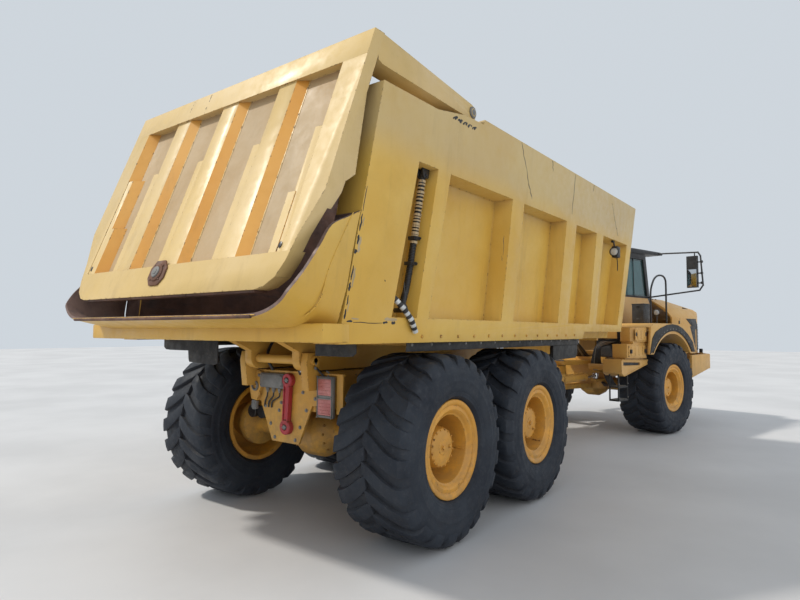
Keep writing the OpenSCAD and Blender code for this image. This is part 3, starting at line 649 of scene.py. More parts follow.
def roughen(verts, scale, depth, offset=Vector(), sink=0.0, most=None):
    """Moves points in and out from the wheel's axis by noise."""
    for v in verts:
        r = hypot(v.co.x, v.co.y)
        n = noise.noise(v.co * scale + offset) * depth - sink
        k = (min(most, r + n) if most else r + n) / r
        v.co.x *= k
        v.co.y *= k


def tyre_bm():
    bm = bmesh.new()
    lathe(bm, TYRE_SIDE + [(r, -y) for r, y in reversed(TYRE_SIDE[:-1])], seg=128)
    roughen(bm.verts, 0.006, 2.5)
    for i, s in product(range(LUGS), (-1, 1)):
        base = (i + (0.5 if s > 0 else 0)) * tau / LUGS
        wear = 1.0 + 0.05 * (rng.random() - 0.5)
        b = bmesh.new()
        rows = []
        for k, (y, rt, rb, off) in enumerate(LUG_PATH):
            half = (LUG_HALF if k else LUG_HALF_START) * wear
            crown = rt + (1 if k < 5 else 0)
            row = []
            for r, side in ((rb, -half), (rt, LUG_EASE - half), (crown, 0), (rt, half - LUG_EASE), (rb, half)):
                r = min(r, TYRE_R - 0.4)
                ang = base - (off + side) / TYRE_R
                row.append(b.verts.new((r * cos(ang), r * sin(ang), s * y)))
            rows.append(row)
        for a, c in zip(rows, rows[1:]):
            for j in range(4):
                b.faces.new((a[j], a[j + 1], c[j + 1], c[j]))
        b.faces.new(rows[0])
        b.faces.new(rows[-1])
        bmesh.ops.recalc_face_normals(b, faces=b.faces)
        bevel(b, 7, 2, 40)
        roughen(b.verts, 0.011, 5, Vector((i, s, 0)), 2.5, TYRE_R - 0.2)
        add(bm, b)
    return bm


RIM_PROFILE = [(0, 228), (60, 228), (66, 224), (150, 224), (160, 221), (172, 214), (184, 180), (190, 152),
               (196, 60), (204, 28), (214, 22), (250, 22), (258, 26), (268, 48), (278, 72), (292, 150),
               (295, 200), (299, 276), (302, 283), (312, 287), (321, 292), (326, 300), (346, 318),
               (352, 321), (378, 319), (384, 317), (390, 320), (396, 328), (404, 333), (428, 335),
               (436, 334), (440, 330), (440, 319), (416, 316), (415, 300), (415, -300), (416, -316),
               (440, -319), (440, -334), (428, -337), (395, -335), (388, -325), (382, -280), (330, -40),
               (300, -5), (250, -22), (190, -60), (0, -60)]


def rim_bm():
    bm = bmesh.new()
    lathe(bm, RIM_PROFILE, seg=96)
    bolts(bm, [(x, y, 22) for x, y in circle(24, 231)], UP, 15, 26)
    bolts(bm, [(x, y, 219) for x, y in circle(16, 162, tau / 32)], UP, 8, 12)
    bolt(bm, (0, 0, 228), UP, 22, 16)
    bolt(bm, (110, 0, 224), UP, 15, 14)
    # valve inside the dish
    tube(bm, [(294, 40, 150), (286, 44, 210), (290, 46, 262)], 7, 8)
    return bm


def wheels():
    tyre, rim = tyre_bm(), rim_bm()
    for b in (tyre, rim):
        b.transform(AXES["y"])
    spots = [("rear", 0, REAR), ("mid", BOGIE, REAR), ("front", AXLE_AHEAD, FRONT)]
    for k, (name, x, unit) in enumerate(spots):
        for side, s in (("left", 1), ("right", -1)):
            turn = Matrix.Rotation(0.7 * k + (0.3 if s > 0 else 0), 4, "Y")
            m = unit @ Matrix.Translation((x, s * HALF_TRACK, WHEEL_Z)) @ Matrix.Scale(s, 4, (0, 1, 0)) @ turn
            for part, source, slot in (("tyre", tyre, "tyre"), ("rim", rim, "yellow_paint")):
                b = source.copy()
                if s < 0:
                    bmesh.ops.reverse_faces(b, faces=b.faces)
                b.transform(m)
                o = new_object(f"{part}_{name}_{side}_skin", b, part, f"wheel_{name}_{side}", 30)
                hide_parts(f"{part}_{name}_{side}")


camera()
stage_and_light()

# Finish of each CAD node; the rest is frame paint, apart from wheels and rods
FINISH = {
    "bed_floor": "rust", "bed_chute": "yellow", "bed_side_left": "yellow", "bed_side_right": "yellow",
    "bed_front_wall": "yellow", "tailgate": "yellow", "bed_flaps": "rubber", "gate_cables": "dark",
    "work_lamps": "dark", "tail_lamps": "grey", "tow_link": "red", "engine_block": "grey",
    "cab_shell": "dark", "cab_glass": "glass", "door_glass": "glass", "cab_interior": "trim",
    "access_steps": "dark", "handrails": "dark", "mirrors": "dark", "grille": "dark", "headlamps": "lens_clear",
    "air_box": "dark", "hood": "front", "bumper": "front", "fenders": "front", "side_boxes": "front",
    "cab_door": "front",
}
for node, obj in NODES.items():
    kind = "tyre" if node.startswith("tyre") else "rim" if node.startswith("rim") else "frame"
    obj.data.materials.clear()
    obj.data.materials.append(M["chrome" if "_rod_" in node else FINISH.get(node, kind)])


def in_bed(c, n):
    """1 on the faces that hold the load."""
    return 1 if n.y * c.y < 0 and abs(n.y) > 0.7 else 0


def on_gate(c, n):
    """1 on the panels between the ribs, in darker paint that is partly painted shade; 2 on the ribs' sides, in orange
    painted shade; 3 on the inner face.
    """
    deep = (c.x - gate_point(0, c.z)[0]) * abs(GATE_N.x)
    if n.dot(GATE_N) < -0.7:
        return 3
    if n.dot(GATE_N) > 0.9:
        return 1 if deep > 60 else 0
    return 2 if abs(n.y) > 0.7 and abs(c.y) < 1400 else 0


for node in ("bed_side_left", "bed_side_right"):
    soften(node, ["yellow", "rust"], 0.010, in_bed)
soften("bed_front_wall", ["yellow", "rust"], 0.010, lambda c, n: 1 if n.x < -0.85 else 0)
soften("tailgate", ["gate", "gate_panel_shaded", "shade_orange", "rust"], 0.010, on_gate)
for node, width in {"rear_frame": 0.006, "tail_frame": 0.005, "neck": 0.01, "bed_frame": 0.006, "bogie": 0.006,
                    "front_frame": 0.006, "bed_flaps": 0.003, "hood": 0.02, "fenders": 0.01, "bumper": 0.015,
                    "side_boxes": 0.012, "cab_shell": 0.015, "cab_door": 0.008, "air_box": 0.015}.items():
    soften(node, FINISH.get(node, "frame"), width)
wheels()


# Tailgate, in its own plane: y across, z up, depth in from the outer face
RIBS = [(-870, -660), (-100, 130), (660, 880)]
RIB_LEFT, RIB_RIGHT, RIB_STEP = 95, 60, 90
GATE_TOP, GATE_FOOT, PANEL_IN = 3984, 2441, 85
EYE = gate_matrix(88, 2372)


@piece("gate", "gate", smooth=60)
def gate_welds(bm):
    beads = []
    for k, (a, c) in enumerate(RIBS):
        left, right = a - RIB_LEFT, c + RIB_RIGHT
        beads += [(left, GATE_TOP, left, 2442, PANEL_IN, 7, k), (right, GATE_TOP, right, 3442, PANEL_IN, 7, k + 4),
                  (right + RIB_STEP, 3438, right + RIB_STEP, 2442, PANEL_IN, 7, k + 7),
                  (a, GATE_TOP, c, GATE_TOP, 20, 6, k + 20),
                  (a + 40, GATE_FOOT, c + RIB_STEP, GATE_FOOT, 26, 7, k + 30)]
    beads += [(-1270, GATE_FOOT, 1270, GATE_FOOT, PANEL_IN, 6, 14),
              (-1400, GATE_TOP, 1400, GATE_TOP, PANEL_IN, 6, 15)]
    for y0, z0, y1, z1, deep, r, seed in beads:
        weld(bm, gate_point(y0, z0, deep), gate_point(y1, z1, deep), r, seed)


@piece(["gate", "shade_orange"], "gate", smooth=20)
def gate_rib_flanks(bm):
    # sloping sides of the pressed ribs and posts: y at the face, z from and to, depth of the face, side
    rows = [(s * 1410, 3432, GATE_TOP, 0, -s) for s in (-1, 1)]
    rows += [(s * 1330, 2902, 3430, 6, -s) for s in (-1, 1)] + [(s * 1270, GATE_FOOT, 2900, 0, -s) for s in (-1, 1)]
    for a, c in RIBS:
        rows += [(a, GATE_FOOT, GATE_TOP, 20, -1), (c, 3441, GATE_TOP, 20, 1), (c + RIB_STEP, GATE_FOOT, 3440, 26, 1)]
    for y, z0, z1, h, d in rows:
        foot, panel = y + (-RIB_LEFT if d < 0 else RIB_RIGHT), PANEL_IN - 0.4
        v = [bm.verts.new(gate_point(q, z, k)) for z in (z0, z1) for q, k in ((y, h), (y, panel), (foot, panel))]
        # flanks on side -1 take the orange painted shade, the others the gate paint
        for i in ((0, 1, 2), (5, 4, 3), (0, 2, 5, 3), (1, 0, 3, 4), (2, 1, 4, 5)):
            bm.faces.new([v[j] for j in i]).material_index = 1 if d < 0 else 0
    bmesh.ops.recalc_face_normals(bm, faces=bm.faces)


@piece("rust", "gate")
def gate_eye_plate(bm):
    pts = [(118, 44), (62, 112), (-62, 112), (-118, 44), (-118, -50), (-62, -116), (62, -116), (118, -50)]
    prism(bm, pts, -1, 14, "xy", 3, EYE)
    lathe(bm, [(78, 13), (78, 22), (70, 27), (52, 27), (50, 16)], seg=32, m=EYE)
    bolts(bm, [EYE @ Vector((x, y, 13)) for x, y in circle(4, 88, tau / 8)], GATE_N, 9, 9)


@piece("grey", "gate")
def gate_eye_boss(bm):
    lathe(bm, [(50, 14), (50, 32), (44, 37), (20, 37), (16, 33), (0, 33)], seg=32, m=EYE)
    lathe(bm, [(26, 33), (26, 41), (0, 43)], seg=6, m=EYE)


@piece("dark", "gate")
def gate_marks(bm):
    for y0, z0, y1, z1, steps, amp, w in ((415, 4205, 428, 4000, 8, 9, 9), (700, 4200, 715, 4080, 6, 7, 7)):
        ribbon(bm, crack(gate_point(y0, z0, -0.5), gate_point(y1, z1, -0.5), steps, amp), GATE_N, w)
    # oval drain holes at the foot of the posts
    for y in (-1372, 1372):
        m = gate_matrix(y, 2492) @ Matrix.Scale(1.5, 4, (0, 1, 0))
        lathe(bm, [(17, 0), (10.2, 2.2), (0, 2.6)], seg=16, m=m)


@piece("rust", "gate")
def gate_wear_strip(bm):
    for y0, y1 in ((-1238, -420), (-412, 404), (412, 1238)):
        box(bm, gate_point(y0, 2182, 12)[0], gate_point(y1, 2182, 128)[0], y0, y1, 2160, 2181, 4)


@piece("grey", "gate")
def gate_pin_caps(bm):
    for s in (-1, 1):
        lathe(bm, cap(56, 13, 6, 4), seg=32, m=turned((330, s * 1660, 4000), -90 * s, "X"))


# Load body
RIGHT_N = (0, -1, -LEAN)


def side_marks(bm, rows, out, thick):
    """Cracks and chips on the right side; a row holds both ends in x and z, steps, waver and width."""
    for x0, z0, x1, z1, steps, amp, width in rows:
        ribbon(bm, crack(on_side(x0, z0, out), on_side(x1, z1, out), steps, amp), RIGHT_N, width, thick)


def pillar_x(x, z):
    """Follows the sloping edge of the rear pillar up from x at its foot."""
    return x + (z - PILLAR_FOOT) * PILLAR_LEAN


def cable(*spots):
    """Points on the line of the gate cable, in the slot of the left side."""
    return [Vector(on_side(x, z, -105, s=1)) for x, z in spots]


@piece("frame", "bed", both=True)
def bed_rail_bolts(bm):
    bolts(bm, [on_side(-330 + i * 298, 1852, s=1) for i in range(13)], (0, 1, -LEAN), 13, 11)


@piece("dark", "bed")
def bed_cracks(bm):
    rows = [(1258, 3946, 1500, 3560), (1500, 3560, 1619, 3396), (2854, 3944, 2828, 3423), (4356, 3835, 4600, 3560),
            (4600, 3560, 4761, 3393), (-640, 2300, -560, 1990), (2100, 3945, 2130, 3820), (3560, 3945, 3520, 3850)]
    rows = [(*r, 9, 12, 12) for r in rows]
    # scuffed opening under the arm
    rows += [(-110 + 84 * k, 3800 + 8 * (k % 2), -32 + 84 * k, 3828 - 6 * (k % 2), 5, 14, 26) for k in range(5)]
    # chips along the rear pillar's edge and foot
    rows += [(pillar_x(-1318, a), a, pillar_x(-1318, c), c, 4, 7, w) for a, c, w in
             ((2980, 2790, 9), (2770, 2640, 15), (2610, 2540, 24), (2500, 2470, 30), (2380, 2270, 14), (2255, 2190, 22),
              (2160, 2085, 13), (2060, 1985, 17))]
    rows += [(a, z, c, z, 4, 4, w) for a, c, z, w in
             ((-1300, -1240, 1968, 15), (-1230, -890, 1962, 7), (-880, -820, 1966, 17), (-770, -720, 1964, 22))]
    rows += [(x, a, x + 14, c, 4, 8, 9) for x, a, c in
             ((-505, 3180, 3120), (-495, 2905, 2875), (-900, 2300, 2296), (1020, 2900, 2700), (1010, 2690, 2640))]
    side_marks(bm, rows, 0.3, 1.4)


@piece("tan_patch", "bed")
def bed_bared_primer(bm):
    rows = [(pillar_x(-1294, a), a, pillar_x(-1294, c), c, 5, 6, w) for a, c, w in
            ((2750, 2680, 12), (2600, 2480, 26), (2365, 2220, 20), (2120, 2040, 12))]
    rows += [(-1250, 1990, -1170, 1990, 5, 5, 14), (-860, 1992, -700, 1992, 5, 5, 24)]
    side_marks(bm, rows, 0.2, 1.2)


@piece("tan_patch", "bed", both=True)
def bed_cable_wraps(bm):
    # pale turns wound about the gate cable
    line = cable((-362, 3210), (-392, 2900), (-416, 2650))
    for k in range(19):
        t = k / 19 * 2
        a = along(line, t)
        d = (line[int(t) + 1] - line[int(t)]).normalized()
        tube(bm, [a, a + d * (14 if k % 3 else 22)], 34 + k % 2 * 2, 10, smooth=False)


@piece("yellow", "bed", smooth=60, both=True)
def bed_welds(bm):
    # along both edges of each rib: x at the top and at the foot
    ribs = ((-270, -430), (-70, -250), (1160, 1110), (1440, 1390), (2680, 2640), (3020, 2980), (3810, 3780),
            (4100, 4070))
    beads = [(foot, 2012, top, 3308, k // 2) for k, (top, foot) in enumerate(ribs)]
    beads += [(-780, 2011, 5200, 2011, 9), (-560, 3309, 5480, 3309, 10)]
    for x0, z0, x1, z1, seed in beads:
        weld(bm, on_side(x0, z0, 2, RECESS, 1), on_side(x1, z1, 2, RECESS, 1), 8, seed)
    weld(bm, (-1968, 0, 2004), (-1968, 1330, 2004), 4, 3)


@piece("dark", "bed", smooth=60, both=True)
def bed_lifting_cables(bm):
    # twisted rope behind the rear pillar, its clamps and the lug that it hangs from
    line = cable((-352, 3300), (-372, 3120), (-392, 2900), (-415, 2660), (-440, 2440), (-470, 2250), (-520, 2090))
    n, turns = 150, 17
    for strand in range(3):
        pts = []
        for i in range(n + 1):
            a = tau * (i / n * turns + strand / 3)
            pts.append(along(line, i / n * (len(line) - 1)) + Vector((cos(a) * 19, sin(a) * 19, 0)))
        tube(bm, pts, 13, 6, smooth=False)
    for z, x in ((2480, -436), (2700, -411)):
        y = cable((x, z))[0].y
        box(bm, x - 44, x + 44, y - 38, y + 38, z - 16, z + 16, 5)
        bolts(bm, [(x + dx, y + 38, z) for dx in (-28, 28)], LEFT, 10, 12)
    y = cable((-350, 3262))[0].y
    for y0 in (y - 34, y + 20):
        prism(bm, [(-410, 3309), (-300, 3309), (-318, 3225), (-384, 3225)], y0, y0 + 14, r=3)
    rod(bm, 16, (-350, y - 44, 3250), (-350, y + 44, 3250))
    rod(bm, 20, (-526, y - 175, 2075), (-526, y - 40, 2075))


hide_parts("gate_cables")

# guard wound on the hose in pale and dark turns
for phase, shade, mat in ((0, "dark", "dark"), (1, "pale", "lens_clear")):
    @piece(mat, "bed", name="bed_hose_guard_" + shade)
    def guard(bm):
        line = [Vector(on_side(*v)) for v in ((-690, 2175, -60), (-620, 2080, 5), (-545, 1990, 34), (-468, 1892, 28))]
        for k in range(phase, 12, 2):
            t0, t1 = k / 12 * 3, (k + 1) / 12 * 3
            tube(bm, [along(line, t) for t in (t0, (t0 + t1) / 2, t1)], 25, 12, smooth=False)

# Work lamps on the body's front corner
LAMP_Y = wall(SIDE, 3130, 1)


@piece("dark", "bed", both=True)
def bed_work_lamps(bm):
    y = LAMP_Y
    box(bm, 4580, 4735, y - 26, y + 66, 3040, 3214, 16)
    lathe(bm, [(72, -2), (72, 10), (65, 16), (58, 16), (58, 4)], seg=32, m=turned((4580, y + 20, 3128), -90, "Y"))
    rod(bm, 12, (4657, y + 2, 3208), (4657, wall(1500, 3300, 1), 3305))
    box(bm, 4620, 4694, wall(1474, 3290, 1), wall(1508, 3290, 1), 3280, 3309, 4)
    tube(bm, [(4700, y + 20, 3042), (4712, y + 22, 3000), (4770, y + 8, 2930), (4830, y - 14, 2860)], 7, 6)


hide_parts("work_lamps")


@piece("lens_clear", "bed", both=True)
def bed_work_lamp_lenses(bm):
    lathe(bm, [(58, 0), (56, 5), (38, 10), (0, 12)], seg=32, m=turned((4577, LAMP_Y + 20, 3128), -90, "Y"))


@piece("rubber", "bed", both=True)
def bed_rubber_skirt(bm):
    # deeper end of the rubber strip, ahead of the tyres
    prism(bm, [(2710, 1790), (2710, 1565), (2750, 1532), (3490, 1540), (3556, 1600), (3556, 1790)], 1448, 1458, r=3)


@piece("grey", "bed", both=True)
def bed_strip_bolts(bm):
    bolts(bm, [(-400 + i * 298, wall(SIDE - 47, 1782, 1), 1782) for i in range(14)], LEFT, 11, 8)


@piece("grey", "bed", both=True)
def bed_pin_ends(bm):
    lathe(bm, [(0, 0), (30, 0), (30, 3), (0, 5)], seg=20, m=turned((330, 1674, 4000), -90, "X"))
    rod(bm, 30, (-600, 486, 1620), (-600, 520, 1620), 24)


# Tail of the rear unit
TAIL_X = -506
LINK_EYES = (-70, 1410, 69), (-45, 950, 74)
LENSES = ("upper", 1286, 1462), ("lower", 1104, 1276)


@piece("grey", "chassis")
def tail_plate_bolts(bm):
    spots = ((-420, 1440), (-420, 1250), (-300, 1130), (-215, 960), (215, 960), (300, 1130), (-150, 830), (150, 830),
             (60, 1180), (90, 1100), (-330, 1400), (-250, 1300))
    bolts(bm, [(-505.3, y, z) for y, z in spots], BACK, 14, 13)
    for s in (-1, 1):
        bolts(bm, product([-600], [s * 512], (1550, 1590)), (0, s, 0), 12, 10)


@piece("grey", "chassis")
def tail_junction_box(bm):
    box(bm, TAIL_X - 50, TAIL_X, -20, 340, 1322, 1470, 12)
    box(bm, -566, -554, -8, 328, 1334, 1458, 8)
    bolts(bm, product([-566], (10, 310), (1348, 1444)), BACK, 8, 7)
    for y in (60, 150, 240):
        lathe(bm, [(20, 0), (20, 22), (14, 30), (11, 46)], seg=16, m=turned((-531, y, 1322), 180, "X"))


@piece("dark", "chassis")
def tail_hoses(bm):
    for y, y2 in ((60, 180), (150, 230), (240, 290)):
        tube(bm, [(-531, y, 1290), (-534, y + 4, 1240), (-520, y2, 1180), (-512, y2 + 20, 1120)], 8, 8)
    for r, seg, *pts in (
        (17, 10, (-535, -300, 1476), (-570, -330, 1540), (-590, -300, 1620), (-560, -220, 1680), (-520, -200, 1760)),
        (14, 10, (-535, -240, 1476), (-580, -250, 1560), (-575, -210, 1650), (-520, -160, 1740)),
        (15, 10, (-530, 160, 1500), (-560, 200, 1590), (-545, 230, 1680), (-480, 240, 1780)),
        (10, 8, (-540, -560, 1476), (-560, -470, 1560), (-540, -380, 1600), (-500, -330, 1560)),
    ):
        tube(bm, pts, r, seg)


@piece("lens_clear", "chassis")
def tail_hose_fittings(bm):
    for p, q in (((-572, -331, 1548), (-580, -322, 1580)), ((-578, -246, 1572), (-577, -232, 1604)),
                 ((-558, 203, 1600), (-552, 214, 1632))):
        rod(bm, 23, p, q, 6)
    rod(bm, 30, (-560, -300, 1500), (-560, -300, 1540), 20)


@piece("red", "chassis")
def tow_link_bar(bm):
    # flat bar with raised edges and a boss at each end
    prism(bm, [(-114, 1410), (-26, 1410), (-5, 950), (-85, 950)], -550, TAIL_X, "yz", 6)
    for s in (-1, 1):
        pts = [(-70 + s * 44, 1410), (-70 + s * 30, 1410), (-45 + s * 27, 950), (-45 + s * 40, 950)]
        prism(bm, pts, -559, -548, "yz", 3)
    for y, z, r in LINK_EYES:
        m = turned((TAIL_X, y, z), -90, "Y")
        lathe(bm, [(r, 0), (r, 44), (r - 6, 52), (34, 54), (30, 50), (30, 0)], seg=40, m=m)


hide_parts("tow_link")


@piece("grey", "chassis")
def tow_link_pins(bm):
    for y, z, _ in LINK_EYES:
        lathe(bm, [(24, 0), (24, 50), (20, 60), (0, 62)], seg=24, m=turned((TAIL_X, y, z), -90, "Y"))
        rod(bm, 4, (-562, y - 34, z + 6), (-562, y + 34, z - 4), 8)


@piece("grey", "chassis")
def tail_lamp_frame(bm):
    box(bm, -560, -521, -700, -491, 1090, 1475, 10)
    for _, z0, z1 in LENSES:
        for y0, y1, a, c in ((-692, -680, z0, z1), (-511, -499, z0, z1), (-692, -499, z0, z0 + 12),
                             (-692, -499, z1 - 12, z1)):
            box(bm, -568, -557, y0, y1, a, c, 4)
    bolts(bm, product([-568], (-686, -505), (1281, 1470, 1097)), BACK, 7, 6)
    tube(bm, [(-522, -600, 1470), (-505, -600, 1500), (-500, -560, 1520)], 9, 8)


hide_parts("tail_lamps")

for level, z0, z1 in LENSES:
    @piece("lens_pink", "chassis", name="tail_lamp_lens_" + level)
    def lens(bm):
        box(bm, -565, -556, -680, -511, z0 + 12, z1 - 12, 4)
        for k in range(5):
            z = z0 + 26 + k * (z1 - z0 - 52) / 4
            box(bm, -568, -563, -674, -517, z - 4, z + 4, 2)


@piece("grey", "chassis")
def tail_eye_ring(bm):
    lathe(bm, [(52, -1), (52, 12), (44, 18), (34, 18), (32, 4)], seg=32, m=turned((-545, 420, 1330), -90, "Y"))
    bolts(bm, [(-546, 360, 1440), (-546, 450, 1440)], BACK, 13, 12)


@piece("frame", "chassis")
def tail_eye_plate(bm):
    prism(bm, [(352, 1492), (508, 1492), (514, 1300), (486, 1186), (398, 1186), (352, 1240)], -543, -530, "yz", 4)


@piece("grey", "chassis")
def tail_grey_foot(bm):
    prism(bm, [(400, 1176), (476, 1186), (484, 1110), (462, 1080), (404, 1088)], -548, -508, "yz", 10)
    box(bm, -556, -546, 414, 466, 1104, 1160, 5)


# Axles, bogie and drive of the rear unit
@piece("frame", "chassis", both=True)
def bogie_caps(bm):
    # bolted caps of the bogie pivots
    lathe(bm, [(120, -2), (120, 14), (108, 24), (30, 28), (0, 28)], seg=40, m=turned((910, 560, 1000), -90, "X"))
    bolts(bm, [(910 + x, 584, 1000 + z) for x, z in circle(8, 88)], LEFT, 11, 10)
    for x in (0, BOGIE):
        bolts(bm, product((x - 90, x + 90), (470, 525), [1010]), UP, 15, 22)
        lathe(bm, [(150, -60), (160, -40), (160, 40), (150, 60)], at=(x, 495, 1060), seg=32)


@piece("rubber", "chassis", both=True)
def bogie_rubber_springs(bm):
    for x, z in product((0, BOGIE), (1024, 1052, 1080)):
        lathe(bm, [(0, z - 12), (96, z - 12), (104, z), (96, z + 12), (0, z + 12)], at=(x, 495, 0), seg=32)


@piece("frame", "chassis")
def drive_shafts(bm):
    rod(bm, 52, (430, 0, 910), (1500, 0, 910), 24)
    rod(bm, 58, (2260, 0, 912), (4500, 0, 990), 24)
    for x, z in ((400, 910), (1530, 910), (2230, 911), (4540, 992)):
        yoke = [(0, -30), (92, -30), (92, -16), (64, -8), (64, 8), (92, 16), (92, 30), (0, 30)]
        lathe(bm, yoke, "x", (x, 0, z), 24)
        bolts(bm, [(x + 30, y, z + dz) for y, dz in circle(4, 76, tau / 8)], AHEAD, 9, 9)


@piece("dark", "chassis", both=True)
def brake_chambers(bm):
    for x, y in product((-150, 1970), (700, 860)):
        lathe(bm, [(0, 0), (62, 0), (70, 8), (70, 70), (58, 88), (0, 92)], "x", (x if x > 0 else x - 90, y, 1000), 28)
        rod(bm, 12, (x, y, 1000), (x + (60 if x < 0 else -60), y, 940), 12)


@piece("dark", "chassis", both=True)
def frame_pipes(bm):
    for y, z in ((330, 1512), (352, 1510), (372, 1512)):
        tube(bm, [(-430, y, z), (400, y, z + 3), (1200, y, z), (2300, y, z + 3), (2960, y, z)], 7, 8, steps=3)
    tube(bm, [(300, 404, 1300), (360, 440, 1200), (300, 560, 1100), (60, 700, 1060), (-40, 760, 1030)], 12, 8)
    tube(bm, [(2000, 404, 1300), (2060, 440, 1200), (2040, 560, 1120), (1980, 700, 1060), (1960, 800, 1030)], 12, 8)


@piece("frame", "chassis", both=True)
def axle_cover_bolts(bm):
    for x in (0, BOGIE):
        bolts(bm, [(x + dx, 228, WHEEL_Z + dz) for dx, dz in circle(14, 210)], LEFT, 10, 10)


@piece("frame", "chassis", both=True)
def frame_bolts(bm):
    bolts(bm, product(range(-380, 4500, 240), [400], (1180, 1440)), LEFT, 12, 10)


# Turned-up tail of the body
FLARE, WING_X = 0.107, -1250


def wing_y(x, z):
    """Outer face of the flared wing behind the body's side."""
    return SIDE + FLARE * (WING_X - x) + LEAN * (z - LEAN_Z)


# rear and front ends of each line across the tail, from the floor's middle to the wing's top
TAIL_ROWS = [((-1966, 0, 1986), (-1373, 0, 1856)), ((-1966, 1200, 1986), (-1373, 1270, 1856)),
             ((-1963, 1310, 1992), (-1373, 1370, 1862)), ((-1956, 1405, 2012), (-1373, 1440, 1884)),
             ((-1947, 1490, 2046), (-1373, 1496, 1926)), ((-1936, 1560, 2092), (-1373, 1534, 1985)),
             ((-1922, 1606, 2150), (-1370, 1556, 2062))]
WING_ROWS = [((-1850, 2250), (-1335, 2230)), ((-1765, 2350), (-1310, 2400)), ((-1662, 2490), (-1285, 2560)),
             ((-1560, 2634), (-1262, 2690)), ((-1400, 2713), (-1236, 2790))]
TAIL_ROWS += [tuple((x, wing_y(x, z), z) for x, z in pair) for pair in WING_ROWS]


def tail_line(ends):
    """Smooth path through one end of the rows, straight up to the third."""
    path = smooth_path(ends, 4)
    return path[:1] + [ends[1].lerp(ends[2], k / 4) for k in range(4)] + path[8:]


@piece(["yellow", "chute_rust"], "bed", smooth=40)
def chute_skin(bm):
    b = bmesh.new()
    lines = zip(*(tail_line([Vector(row[e]) for row in TAIL_ROWS]) for e in (0, 1)))
    grid = [[b.verts.new(p.lerp(q, k / 8)) for k in range(9)] for p, q in lines]
    for a, c in zip(grid, grid[1:]):
        for k in range(8):
            b.faces.new((a[k], a[k + 1], c[k + 1], c[k]))
    add_mirror(b)
    bmesh.ops.remove_doubles(b, verts=b.verts, dist=0.5)
    bmesh.ops.recalc_face_normals(b, faces=b.faces)
    low = min(b.faces, key=lambda f: f.calc_center_median().z)
    if low.normal.z > 0:
        bmesh.ops.reverse_faces(b, faces=b.faces)
    outer = list(b.faces)
    # the inner face, 26 mm in, and the rim between the two
    b.normal_update()
    b.verts.ensure_lookup_table()
    twin = {v: b.verts.new(v.co - v.normal * 26) for v in list(b.verts)}
    edges = [e for e in b.edges if len(e.link_faces) == 1]
    for f in outer:
        b.faces.new([twin[v] for v in reversed(f.verts)]).material_index = 1
    for e in edges:
        v = e.link_loops[0].vert
        w = e.other_vert(v)
        b.faces.new((w, v, twin[v], twin[w])).material_index = 1
    add(bm, b)


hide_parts("bed_chute")


@piece("chute_rust", "bed")
def chute_end_plates(bm):
    # rusty end plates behind the rear pillars, inside the tail
    for s in (-1, 1):
        pts = [(1290, 1866), (1370, 1876), (1440, 1900), (1492, 1944), (1520, 2000), (1532, PILLAR_FOOT)]
        pts += [(wing_y(pillar_x(-1345, z), z) - 34, z) for z in (2230, 2400, 2560, 2690, 2780)]
        pts.append((wall(1290, 2780, 1), 2780))
        faces = [[bm.verts.new((pillar_x(-1362, max(PILLAR_FOOT, z)) + d, s * y, z)) for y, z in pts] for d in (0, 8)]
        for f in faces:
            bm.faces.new(f)
        for i in range(len(pts)):
            bm.faces.new((faces[0][i - 1], faces[0][i], faces[1][i], faces[1][i - 1]))
    bmesh.ops.recalc_face_normals(bm, faces=bm.faces)


@piece("yellow", "bed")
def chute_beam(bm):
    box(bm, -1640, -1371, -1640, 1640, 1815, 1950, 10)


@piece("rust", "bed")
def chute_edge_bar(bm):
    tube(bm, [(-1968, -1290, 1993), (-1970, -600, 1990), (-1970, 600, 1990), (-1968, 1290, 1993)], 13, 8, steps=12)


@piece("yellow", "bed")
def chute_crease(bm):
    # folded line where the wing flares
    for s in (-1, 1):
        line = ((-1330, 2760), (-1420, 2600), (-1560, 2330), (-1600, 2190))
        pts = [(x, s * (wing_y(x, z) + 1), z) for x, z in line]
        tube(bm, pts + [(-1640, s * 1588, 2080), (-1690, s * 1520, 2000)], 5, 6)


# Steering hinge and its hoses
STEER_Y = 480
HINGE_HOSES = ((-150, 22, "dark"), (-95, 18, "dark"), (-45, 24, "grey"), (10, 18, "dark"), (60, 22, "dark"),
               (115, 16, "dark"))

for k, (y, r, mat) in enumerate(HINGE_HOSES):
    # an arch over the hinge, clamped at both ends
    a = REAR @ Vector((5330 + 12 * k, y, 1420))
    b = FRONT @ Vector((770, y * 0.8 - 20, 1440 - 8 * k))
    mid = (a + b) / 2 + Vector((0, -0.03 * (k - 2), 0.30 + 0.03 * (k % 3)))
    q1, q2 = (v.lerp(mid, 0.5) + Vector((0, 0, 0.13)) for v in (a, b))
    path = [a - Vector((0.22, 0, 0.04)), a, q1, mid, q2, b, b + Vector((0.18, 0, -0.05))]
    crossing("hinge_hose_%d" % (k + 1), path, r, mat)


@piece("grey", "chassis")
def hinge_hose_clamps(bm):
    box(bm, 5120, 5180, -190, 160, 1400, 1436, 6)
    box(bm, 5340, 5400, -200, 170, 1300, 1400, 6)
    bolts(bm, product([5150], (-170, -120, -70, -20, 35, 90, 140), [1436]), UP, 8, 8)
    for k, (y, _, _) in enumerate(HINGE_HOSES):
        rod(bm, 30, (5100 + 12 * k, y, 1380), (5150 + 12 * k, y, 1386), 6)


@piece("frame", "chassis")
def roll_bearing_ring(bm):
    lathe(bm, [(200, -20), (258, -20), (262, -12), (262, 12), (258, 20), (200, 20)], "x", (HITCH - 600, 0, 1080), 64)
    bolts(bm, [(HITCH - 622, y, 1080 + z) for y, z in circle(20, 232)], BACK, 13, 14)


